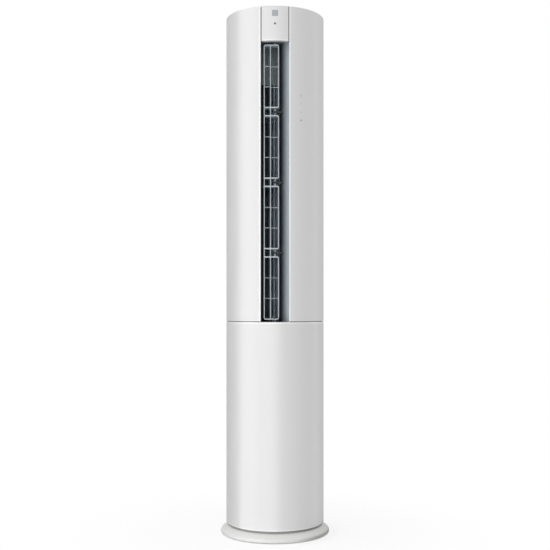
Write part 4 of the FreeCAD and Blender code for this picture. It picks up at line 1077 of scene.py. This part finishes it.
    def gap_shades(self) -> None:
        """Dark rubber beads in the joints between the cap and the side shells; their dark colour stands in for the
        shade inside the gaps.
        """
        middle = math.degrees(math.asin((self.slot_half - self.joint_gap / 2) / self.radius))
        half = math.degrees((self.joint_gap / 2 - self.bead_play) / self.radius)
        inner, outer = self.radius - self.wall + self.margin, self.radius - self.bead_sink
        low, high = self.slot_top + self.margin, self.height - self.bead_drop
        profile = [(inner, low), (outer, low), (outer, high), (inner, high)]
        for name, turn in (("cap_gap_shade_left", -middle), ("cap_gap_shade_right", middle)):
            piece = Bench.lathe(name, profile, turn - half, turn + half, steps=4)
            Bench.dress(Bench.soften(piece, self.bead_round), Finish.RUBBER, Body.CABINET, "rubber")

    def plinth(self) -> None:
        """Flared skirt: rounded rim, smooth S-shaped side, a groove under the panels and a neck inside them."""
        neck = self.radius - self.wall - self.fit
        wall, rim, edge, waist = self.plinth_wall, self.plinth_rim, self.plinth_edge, neck - self.plinth_groove
        top, groove_top = self.bottom - self.plinth_shoulder, self.bottom + self.plinth_shoulder
        turn = math.radians(self.flare_angle)
        spread, rise = self.plinth_radius - waist, top - rim
        bends = (rise * math.sin(turn) - spread * math.cos(turn)) / (1 - math.cos(turn))
        hollow, crown = bends * self.hollow_share, bends * (1 - self.hollow_share)
        neck_top = self.bottom + self.neck_overlap
        profile = [(neck - wall, neck_top), (neck, neck_top), (neck, groove_top)]
        profile += arc((waist + hollow, top), (-hollow, -hollow), 0, self.flare_angle, steps=10)
        profile += arc((self.plinth_radius - crown, rim), (crown, crown), self.flare_angle, 0, steps=10)
        profile += arc((self.plinth_radius - edge, self.plinth_lift + edge), (edge, -edge), first=0, last=90, steps=6)
        inside = self.plinth_radius - wall
        slope = (inside - waist + wall) / (top - wall - rim)
        low, high = self.flange_low, self.flange_high
        profile += [(inside, self.plinth_lift), (inside, rim), (inside - slope * (low - rim), low),
                    (self.flange_radius, low), (self.flange_radius, high), (inside - slope * (high - rim), high),
                    (waist - wall, top - wall), (waist - wall, top), (neck - wall, groove_top)]
        piece = Bench.smooth(Bench.lathe("plinth_skirt", profile, steps=160), angle=40)
        Bench.dress(piece, Finish.PLINTH, Body.CABINET, "plinth_white", ["base_plinth"])

    def top(self) -> None:
        """Top cover: a shallow dish with a rounded rim and a skirt."""
        outer, top = self.radius - self.wall - self.fit, self.height - self.fit
        inner, low = outer - self.lid_wall, top - self.lid_skirt
        profile = [(inner, low), (outer, low)]
        profile += quarter(outer - self.lid_round, top - self.lid_round, self.lid_round, 0)
        for share in (i / self.dish_steps for i in range(self.dish_steps + 1)):
            fall = (1 - math.cos(math.pi * share)) / 2
            profile.append((inner - self.dish_width * share, top - self.dish_depth * fall))
        profile += [(self.pole, top - self.dish_depth), (self.pole, top - self.lid_base),
                    (inner - self.dish_width, top - self.lid_base), (inner, top - self.lid_wall)]
        piece = Bench.smooth(Bench.lathe("top_lid", profile), angle=40)
        Bench.dress(piece, Finish.CABINET, Body.CABINET, "cabinet_white", ["top_cover"])

    def build(self) -> None:
        """Builds the shells."""
        for part in (self.lower, self.upper, self.cap, self.gap_shades, self.plinth, self.top):
            part()


@dataclass
class Receiver:
    """Small dark dome of the remote control's receiver, in its hole in the cap."""

    radius: float = 0.0032
    dome: float = 0.0006
    depth: float = 0.004
    edge_share: float = 0.9
    pole: float = 0.00001
    face: float = -0.1757
    height: float = 1.789

    def build(self) -> None:
        """Builds the dome on its side."""
        profile = [(self.pole, -self.depth), (self.radius * self.edge_share, -self.depth),
                   (self.radius, -self.depth * self.edge_share)]
        profile += arc((0, 0), (self.radius, self.dome), first=0, last=75, steps=5) + [(self.pole, self.dome)]
        piece = Bench.lathe("receiver_dome", profile, steps=32)
        Bench.smooth(Bench.put(piece, (0, self.face, self.height), (90, 0, 0)), angle=40)
        Bench.dress(piece, Finish.LENS, Body.CABINET, "lens_dark", ["receiver_lens"])


class Mark(Enum):
    """Plain marks of the touch keys."""

    RING = "ring"
    BARS = "bars"
    ARROW = "arrow"
    DOT = "dot"


@dataclass
class Controls:
    """Four touch key marks printed on the right side panel."""

    radius: float = 0.176
    angle: float = 31.0
    stand: float = 0.00006
    depth: float = 0.0002
    heights: dict[Mark, float] = field(default_factory=lambda: {
        Mark.RING: 1.545, Mark.BARS: 1.517, Mark.ARROW: 1.488, Mark.DOT: 1.460,
    })
    ring: Point = (0.0046, 0.0056)
    ring_width: float = 0.0010
    ring_gap: float = 35.0
    stroke_height: float = 0.0030
    bar_size: Point = (0.0044, 0.0008)
    bar_places: tuple[Point, ...] = ((-0.0014, 0.0), (0.0012, 0.0022), (0.0012, -0.0022))
    arrow: tuple[Point, ...] = ((-0.0032, 0.0008), (0.0, -0.0026), (0.0032, 0.0008), (0.0026, 0.0014), (0.0, -0.0014),
                                (-0.0026, 0.0014))
    dot: float = 0.0033

    def shapes(self, mark: Mark) -> list[Sequence[Point]]:
        """Outlines of a mark.

        Args:
            mark: which mark.

        Returns:
            The outlines, round the mark's middle.
        """
        if mark is Mark.RING:
            first, last = 90 - self.ring_gap, self.ring_gap - 270
            inner = (self.ring[0] - self.ring_width, self.ring[1] - self.ring_width)
            ring = arc((0, 0), self.ring, first, last, steps=29) + arc((0, 0), inner, last, first, steps=29)
            return [ring, self.bar((0.0, self.stroke_height), (self.ring_width, self.ring[1]))]
        if mark is Mark.BARS:
            return [self.bar(place, self.bar_size) for place in self.bar_places]
        if mark is Mark.ARROW:
            return [self.arrow]
        return [arc((0, 0), (self.dot, self.dot), first=90, last=-255, steps=23)]

    @staticmethod
    def bar(middle: Point, size: Point) -> list[Point]:
        """Outline of a bar round a middle."""
        corners = ((-1, -1), (1, -1), (1, 1), (-1, 1))
        return [(middle[0] + i * size[0] / 2, middle[1] + j * size[1] / 2) for i, j in corners]

    def build(self) -> None:
        """Builds the marks on the panel."""
        pieces = []
        for mark, height in self.heights.items():
            place = polar(self.radius + self.stand - self.depth, self.angle, height)
            for shape in self.shapes(mark):
                piece = Bench.outline("mark", [Vector((x, y, 0)) for x, y in shape])
                Bench.extrude(piece, Vector((0, 0, self.depth)))
                pieces.append(Bench.put(piece, place, (90, 0, self.angle)))
        Bench.dress(Bench.unite("touch_key_marks", pieces), Finish.MARK, Body.CABINET, "window_grey")


@dataclass
class Louver:
    """Swing louver: three thin blades, four modules with rounded corners, cross ribs and pins."""

    axis: Point = (0.0, -0.136983)
    floor: float = 0.758
    ceiling: float = 1.733
    end_gap: float = 0.0102
    blades: Triple = (-0.0373, -0.0160, 0.0119)
    blade: float = 0.0030
    depth: float = 0.030
    bar: float = 0.0042
    rib: float = 0.0017
    rib_depth: float = 0.007
    rib_insets: Point = (0.004, 0.012)
    corner: float = 0.0062
    window_corner: float = 0.0025
    gap: float = 0.0247
    modules: int = 4
    rows: int = 3
    pin_radius: float = 0.0025
    pin_low: float = 0.003
    pin_high: float = 0.0025
    cut_through: float = 0.001
    soft_edge: float = 0.0006

    def spans(self) -> list[Point]:
        """Lower and upper end of each module.

        Returns:
            The ends, from the lowest module up.
        """
        low, high = self.floor + self.end_gap, self.ceiling - self.end_gap
        pitch = (high - low + self.gap) / self.modules
        return [(low + pitch * i, low + pitch * (i + 1) - self.gap) for i in range(self.modules)]

    def slab(self, points: Sequence[Point], inset: float, depth: float) -> Piece:
        """Solid from an upright outline.

        Args:
            points: the outline as seen from the front.
            inset: distance behind the louver's front.
            depth: depth of the solid.

        Returns:
            The solid.
        """
        front = self.axis[1] - self.depth / 2 + inset
        piece = Bench.outline("louver_slab", [Vector((x, front, z)) for x, z in points])
        return Bench.extrude(piece, Vector((0, depth, 0)))

    def frame(self) -> Piece:
        """Outer form, with a notch for a bracket between modules on the right.

        Returns:
            The solid.
        """
        half, r = self.blade / 2, self.corner
        left, notch, right = self.blades[0] - half, self.blades[1] + half, self.blades[2] + half
        spans = self.spans()
        points: list[Point] = []
        for low, high in spans:
            points += [(notch, low)] + quarter(right - r, low + r, r, -90)
            points += quarter(right - r, high - r, r, 0) + [(notch, high)]
        points = points[1:-1] + quarter(left + r, spans[-1][1] - r, r, 90) + quarter(left + r, spans[0][0] + r, r, 180)
        return self.slab(points, 0.0, self.depth)

    def window(self, column: int, low: float, high: float) -> Piece:
        """Cutter for a window with rounded corners.

        Args:
            column: number of the blade on its left.
            low: its lower end.
            high: its upper end.

        Returns:
            The cutter.
        """
        half, r = self.blade / 2, self.window_corner
        left, right = self.blades[column] + half + r, self.blades[column + 1] - half - r
        points = quarter(right, low + r, r, -90) + quarter(right, high - r, r, 0)
        points += quarter(left, high - r, r, 90) + quarter(left, low + r, r, 180)
        return self.slab(points, -self.cut_through, self.depth + 2 * self.cut_through)

    def openings(self) -> Piece:
        """Cutter for the windows in the modules and between them.

        Returns:
            The cutter.
        """
        spans = self.spans()
        cutters = [self.window(column, low + self.bar, high - self.bar) for column in range(2) for low, high in spans]
        cutters += [self.window(0, low, high) for (_, low), (high, _) in zip(spans, spans[1:])]
        return Bench.unite("louver_openings", cutters)

    def inner(self) -> Piece:
        """Cross ribs and pins.

        Returns:
            The ribs and pins, as one object.
        """
        pieces, spans = [], self.spans()
        for first, last, inset in zip(self.blades, self.blades[1:], self.rib_insets):
            for low, high in spans:
                row = (high - low - 2 * self.bar + self.rib) / self.rows
                for i in range(1, self.rows):
                    z = low + self.bar + row * i - self.rib
                    box = [(first, z), (last, z), (last, z + self.rib), (first, z + self.rib)]
                    pieces.append(self.slab(box, inset, self.rib_depth))
        ends = [self.floor - self.pin_low] + [z for span in spans for z in span] + [self.ceiling + self.pin_high]
        for low, high in zip(ends[::2], ends[1::2]):
            low, high = low - self.bar / 2 * (low > self.floor), high + self.bar / 2 * (high < self.ceiling)
            pieces.append(Bench.cylinder(self.pin_radius, high - low, (*self.axis, (low + high) / 2), sides=24))
        return Bench.unite("louver_inner", pieces)

    def build(self) -> None:
        """Builds the louver."""
        piece = Bench.cut(self.frame(), [self.openings()])
        piece = Bench.unite("louver_frame", [Bench.cut(piece, [self.inner()], "UNION")])
        Bench.soften(piece, self.soft_edge)
        Bench.dress(piece, Finish.LOUVER, Body.LOUVER, "louver_grey", ["swing_louver"])


@dataclass
class OutletBlank:
    """Ribbed plate between the duct walls that blanks the outlet in front of the fan's upper end."""

    left: float = -0.0679
    right: float = 0.0196
    front: float = -0.0770
    bow: float = 0.0075
    thickness: float = 0.0022
    low: float = 1.598
    high: float = 1.7328
    ribs: tuple[float, ...] = (-0.060, -0.052, -0.044, -0.036, -0.028, -0.020, -0.012, -0.004, 0.004, 0.012)
    rib_half: float = 0.0016
    rib_top: float = 0.0009
    rib_height: float = 0.0010
    soft_edge: float = 0.0004

    def face(self, x: float) -> float:
        """Place of the plate's face at a distance to the right."""
        return self.front - self.bow * ((self.right - x) / (self.right - self.left)) ** 2

    def build(self) -> None:
        """Builds the plate's section with its ribs and extrudes it upwards."""
        points = [(self.left, self.face(self.left))]
        for rib in self.ribs:
            for x, height in ((-self.rib_half, 0.0), (-self.rib_top, self.rib_height), (self.rib_top, self.rib_height),
                              (self.rib_half, 0.0)):
                points.append((rib + x, self.face(rib + x) - height))
        points.append((self.right, self.face(self.right)))
        points += [(x, self.face(x) + self.thickness) for x in (self.right, *reversed(self.ribs), self.left)]
        piece = Bench.outline("outlet_blank", [Vector((x, y, self.low)) for x, y in points])
        Bench.soften(Bench.extrude(piece, Vector((0, 0, self.high - self.low))), self.soft_edge)
        Bench.dress(piece, Finish.DECK, Body.CABINET, "duct_grey")


@dataclass
class RearFittings:
    """Screws of the rear shell, the finger ledges of the intake grille and the membrane in the pipe port."""

    radius: float = 0.176
    head_radius: float = 0.0036
    head_height: float = 0.0019
    head_round: float = 0.0009
    head_sink: float = 0.0002
    recess: Triple = (0.0009, 0.0044, 0.0024)
    cross_turn: float = 700.0
    screw_places: tuple[Point, ...] = ((104.5, 0.075), (104.5, 0.400), (104.5, 0.725), (255.5, 0.075), (255.5, 0.400),
                                       (255.5, 0.725), (150.0, 0.725), (210.0, 0.725), (150.0, 0.075), (210.0, 0.075))
    ledge_height: float = 1.712
    ledge_sink: float = 0.0004
    ledge_section: tuple[Point, ...] = ((0.0, 0.0), (0.0052, 0.0008), (0.0062, 0.0022), (0.0056, 0.0042),
                                        (0.0035, 0.0085), (0.0012, 0.0125), (0.0, 0.0145))
    ledge_turns: tuple[float, ...] = (160.0, 200.0)
    ledge_half: float = 7.5
    ledge_round: float = 0.0006
    port_height: float = 0.150
    port_face: float = 0.1735
    leaves: int = 8
    leaf_gap: float = 0.9
    leaf_section: tuple[Point, ...] = ((0.003, 0.0), (0.0322, -0.0006), (0.0322, 0.0010), (0.026, 0.0010),
                                       (0.025, 0.0018), (0.0235, 0.0018), (0.0225, 0.0010), (0.006, 0.0016),
                                       (0.003, 0.0016))
    leaf_round: float = 0.0003

    def screw(self) -> Piece:
        """Pan head with a cross recess, upright at the origin.

        Returns:
            The screw.
        """
        head = Bench.cylinder(self.head_radius, self.head_height, (0, 0, self.head_height / 2))
        Bench.modify(head, "BEVEL", width=self.head_round, segments=4, limit_method="ANGLE",
                     angle_limit=math.radians(40))
        width, length, depth = self.recess
        cutters = [Bench.block((x, y, depth), (0, 0, self.head_height)) for x, y in ((width, length), (length, width))]
        return Bench.smooth(Bench.close_up(Bench.cut(head, cutters)), angle=30)

    def screws(self) -> None:
        """Copies the screw to each of its places, its cross turned differently at each height."""
        places = [(polar(self.radius - self.head_sink, turn, height), (90, height * self.cross_turn, turn))
                  for turn, height in self.screw_places]
        piece = Bench.unite("rear_screws", Bench.copies(self.screw(), places))
        Bench.dress(piece, Finish.SCREW, Body.CABINET, "plate_steel")

    def ledges(self) -> None:
        """Two ledges that the fingers hook under to pull the grille off."""
        skin = self.radius - self.ledge_sink
        profile = [(skin + out, self.ledge_height + up) for out, up in self.ledge_section]
        pieces = [Bench.lathe("grille_ledge", profile, turn - self.ledge_half, turn + self.ledge_half, steps=16)
                  for turn in self.ledge_turns]
        piece = Bench.soften(Bench.unite("grille_ledges", pieces), self.ledge_round)
        Bench.dress(piece, Finish.GRILLE, Body.GRILLE, "grille_white")

    def membrane(self) -> None:
        """Slit rubber membrane that closes the pipe port: one leaf, turned and copied."""
        pitch = 360 / self.leaves
        half = pitch / 2 - self.leaf_gap
        first = Bench.soften(Bench.lathe("leaf", self.leaf_section, -half, half, steps=8), self.leaf_round)
        leaves = Bench.copies(first, [((0, 0, 0), (0, 0, pitch * i)) for i in range(self.leaves)])
        piece = Bench.unite("pipe_port_membrane", leaves)
        Bench.put(piece, (0, self.port_face, self.port_height), (-90, 0, 0))
        Bench.dress(piece, Finish.RUBBER, Body.CABINET, "rubber")

    def build(self) -> None:
        """Builds the fittings."""
        for part in (self.screws, self.ledges, self.membrane):
            part()


@dataclass
class Carried:
    """Nodes that keep their shape and get a finish, with softened edges where they show."""

    finishes: dict[Finish, Sequence[str]] = field(default_factory=lambda: {
        Finish.STEEL: ["base_plate", "column_front_left", "column_front_right", "column_rear_left", "column_rear_right",
                       "motor_shaft", "fan_journal", "louver_motor", "evaporator_bottom_plate", "evaporator_top_plate",
                       "control_box", "control_box_cover"],
        Finish.RUBBER: ["rubber_feet", "pipe_grommet", "cord_gland", "fan_hub", "fan_bearing", "motor_mounts"],
        Finish.COPPER: ["evaporator_return_bends", "gas_pipe", "liquid_pipe"],
        Finish.BRASS: ["louver_motor_shaft", "flare_nuts"],
        Finish.MOTOR: ["fan_motor"],
        Finish.FINS: ["evaporator_fins"],
        Finish.BOARD: ["receiver_board", "touch_board", "control_board"],
        Finish.TERMINAL: ["terminal_block"],
        Finish.PAN: ["drain_pan", "drain_hose"],
        Finish.VOLUTE: ["chassis_floor", "volute_wall"],
        Finish.DECK: ["chassis_ceiling"],
        Finish.DUCT: ["stabiliser_wall"],
        Finish.ARM: ["louver_brackets"],
        Finish.FAN: ["fan_rotor"],
        Finish.WINDOW: ["status_window"],
        Finish.GRILLE: ["intake_grille"],
        Finish.FRAME: ["filter_frame"],
        Finish.NET: ["filter_mesh"],
    })
    softened: dict[str, float] = field(default_factory=lambda: {
        "intake_grille": 0.0005, "pipe_grommet": 0.0008, "cord_gland": 0.0006,
    })
    flat: float = 0.5
    sharp: float = 35.0

    def build(self) -> None:
        """Dresses the nodes."""
        for finish, nodes in self.finishes.items():
            for node in nodes:
                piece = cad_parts[node]
                piece.data.materials.clear()
                piece.data.materials.append(finish.material())
                if node in self.softened:
                    self.soften(piece, self.softened[node])
                log.info("node %s: finish %s", node, finish.value.name)

    def soften(self, piece: Piece, width: float) -> None:
        """Adds modifiers that round a node's sharp edges and leave its mesh as it is.

        Args:
            piece: the node's object.
            width: width of the rounding.
        """
        Bench.add_modifier(piece, "WELD", merge_threshold=Bench.weld)
        Bench.add_modifier(piece, "DECIMATE", decimate_type="DISSOLVE", angle_limit=math.radians(self.flat))
        Bench.add_modifier(piece, "BEVEL", width=width, segments=2, limit_method="ANGLE",
                           angle_limit=math.radians(self.sharp))
        Bench.add_modifier(piece, "WEIGHTED_NORMAL", keep_sharp=True)


@dataclass(frozen=True)
class Lamp:
    """Rectangular soft light that looks at the cabinet, by its angle from the front towards the right."""

    name: str
    azimuth: float
    distance: float
    size: Point
    radiance: float
    height: float = 0.95
    gloss_only: bool = False
    only: Sequence[str] = ()
    aim: float = 0.95

    def build(self) -> None:
        """Adds the light; one with its own subjects lights these nodes alone."""
        data = bpy.data.lights.new(self.name, "AREA")
        data.shape = "RECTANGLE"
        data.size, data.size_y = self.size
        data.energy = self.radiance * math.pi * self.size[0] * self.size[1]
        lamp = bpy.data.objects.new(self.name, data)
        bpy.context.scene.collection.objects.link(lamp)
        lamp.location = polar(self.distance, self.azimuth, self.height)
        lamp.rotation_euler = (Vector((0, 0, self.aim)) - lamp.location).to_track_quat("-Z", "Y").to_euler()
        lamp.visible_camera = False
        lamp.visible_diffuse = not self.gloss_only
        if self.only:
            subjects = bpy.data.collections.new(self.name + "_subjects")
            for node in self.only:
                subjects.objects.link(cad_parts[node])
            lamp.light_linking.receiver_collection = subjects


@dataclass
class Studio:
    """Pale floor, soft light and the camera."""

    lens: float = 61.14
    sensor: float = 36.0
    distance: float = 3.391
    eye_height: float = 0.815
    shift: float = 0.0569
    floor_radius: float = 60.0
    floor_fade: Point = (0.18, 0.9)
    floor_shade: float = 0.86
    contact_fade: Point = (0.186, 0.199)
    room_light: float = 0.74
    floor_light: float = 0.42
    light_rise: Point = (-0.6, 0.2)
    dim_side: Triple = (-0.6, 0.8, 0.0)
    dim_start: float = 0.2
    dim_share: float = 0.65
    flag_section: tuple[Point, ...] = ((0.214, 0.002), (0.218, 0.002), (0.220, 0.022), (0.216, 0.022))
    flag_turns: Point = (22.0, 140.0)
    flag_taper: float = 28.0
    flag_start: float = 0.1
    lamps: tuple[Lamp, ...] = (
        Lamp("left_sheen", -62, 3.2, (3.4, 7.0), 4.5, gloss_only=True),
        Lamp("front_sheen", -10, 4.2, (3.0, 7.0), 3.4, gloss_only=True),
        Lamp("right_sheen", 32, 3.6, (2.2, 7.0), 0.9, gloss_only=True),
        Lamp("rim_sheen", 108, 3.0, (0.6, 7.0), 1.5, gloss_only=True),
        Lamp("key_light", -20, 3.9, (2.2, 3.6), 0.9, height=0.3),
        Lamp("top_light", -85, 2.6, (5.0, 5.0), 0.8, height=6.0),
        Lamp("fan_light", -19, 3.0, (0.5, 2.6), 15.0, height=1.25, only=("fan_rotor",)),
    )

    def floor(self) -> None:
        """Plain pale floor that fades to white away from the cabinet."""
        Bench.clear()
        bpy.ops.mesh.primitive_circle_add(vertices=96, radius=self.floor_radius, fill_type="NGON", location=(0, 0, 0))
        floor = bpy.context.object
        floor.name = "studio_floor"
        shader = Shader("studio_floor")
        shader.set(Base_Color=tone(0.9), Roughness=0.85)
        away = shader.node("ShaderNodeVectorMath", {"operation": "LENGTH"}, [shader.coordinates], "Value")
        share = shader.step(away, *self.floor_fade, self.floor_shade) * shader.step(away, *self.contact_fade)
        glow = shader.node("ShaderNodeEmission", None, {"Color": tone(1.0), "Strength": 1.0})
        both = shader.node("ShaderNodeMixShader", None, [share, Wire(shader, shader.surface.outputs[0]), glow])
        shader.feed(shader.first("OUTPUT_MATERIAL").inputs["Surface"], both)
        floor.data.materials.append(shader.material)
        floor.visible_diffuse = False
        floor.visible_glossy = False
        floor.visible_shadow = False

    def flag(self) -> None:
        """Low dark card beside the plinth that rises to the right and shades that end; the camera doesn't see it."""
        first, last = self.flag_turns
        card = Bench.lathe("studio_flag", self.flag_section, first, last, steps=24)
        for vertex in card.data.vertices:
            turn = math.degrees(math.atan2(vertex.co.x, -vertex.co.y))
            vertex.co.z *= min(1.0, self.flag_start + (turn - first) / self.flag_taper)
        shader = Shader("studio_flag")
        shader.set(Base_Color=tone(0.05), Roughness=0.9)
        card.data.materials.append(shader.material)
        card.visible_camera = False

    def room(self) -> None:
        """White surroundings that light the object less than they show, and least from the left behind it."""
        world = bpy.data.worlds.new("studio_world")
        bpy.context.scene.world = world
        world.use_nodes = True
        nodes = Nodes(world.node_tree)
        where = nodes.node("ShaderNodeTexCoord", output="Generated")
        height = nodes.node("ShaderNodeSeparateXYZ", None, [where], "Z")
        rise = nodes.node("ShaderNodeMapRange", None, [height, *self.light_rise, self.floor_light, self.room_light])
        behind = nodes.node("ShaderNodeVectorMath", {"operation": "DOT_PRODUCT"}, [where, self.dim_side], "Value")
        dim = nodes.node("ShaderNodeMapRange", None, [behind, self.dim_start, 1.0, 1.0, self.dim_share])
        lit = nodes.node("ShaderNodeBackground", None, [tone(1.0), rise * dim])
        shown = nodes.node("ShaderNodeBackground", None, [tone(1.0), 1.0])
        seen = nodes.node("ShaderNodeLightPath", output="Is Camera Ray")
        both = nodes.node("ShaderNodeMixShader", None, [seen, lit, shown])
        nodes.feed(nodes.first("OUTPUT_WORLD").inputs["Surface"], both)

    def camera(self) -> None:
        """Level camera in front of the cabinet, with a small upward shift."""
        data = bpy.data.cameras.new("camera")
        data.lens = self.lens
        data.sensor_width = self.sensor
        data.shift_y = self.shift
        camera = bpy.data.objects.new("camera", data)
        bpy.context.scene.collection.objects.link(camera)
        camera.location = (0, -self.distance, self.eye_height)
        camera.rotation_euler = (math.pi / 2, 0, 0)
        bpy.context.scene.camera = camera

    def build(self) -> None:
        """Builds the studio."""
        self.floor()
        self.flag()
        for lamp in self.lamps:
            lamp.build()
        self.room()
        bpy.context.scene.view_settings.view_transform = "Standard"
        self.camera()


def main() -> None:
    """Builds every sub-assembly, then the studio."""
    logging.basicConfig(level=logging.INFO, format="%(message)s")
    for assembly in (Carried, Cabinet, Receiver, Controls, Louver, OutletBlank, RearFittings, Studio):
        assembly().build()
    Bench.clear()


if __name__ == "__main__":
    main()
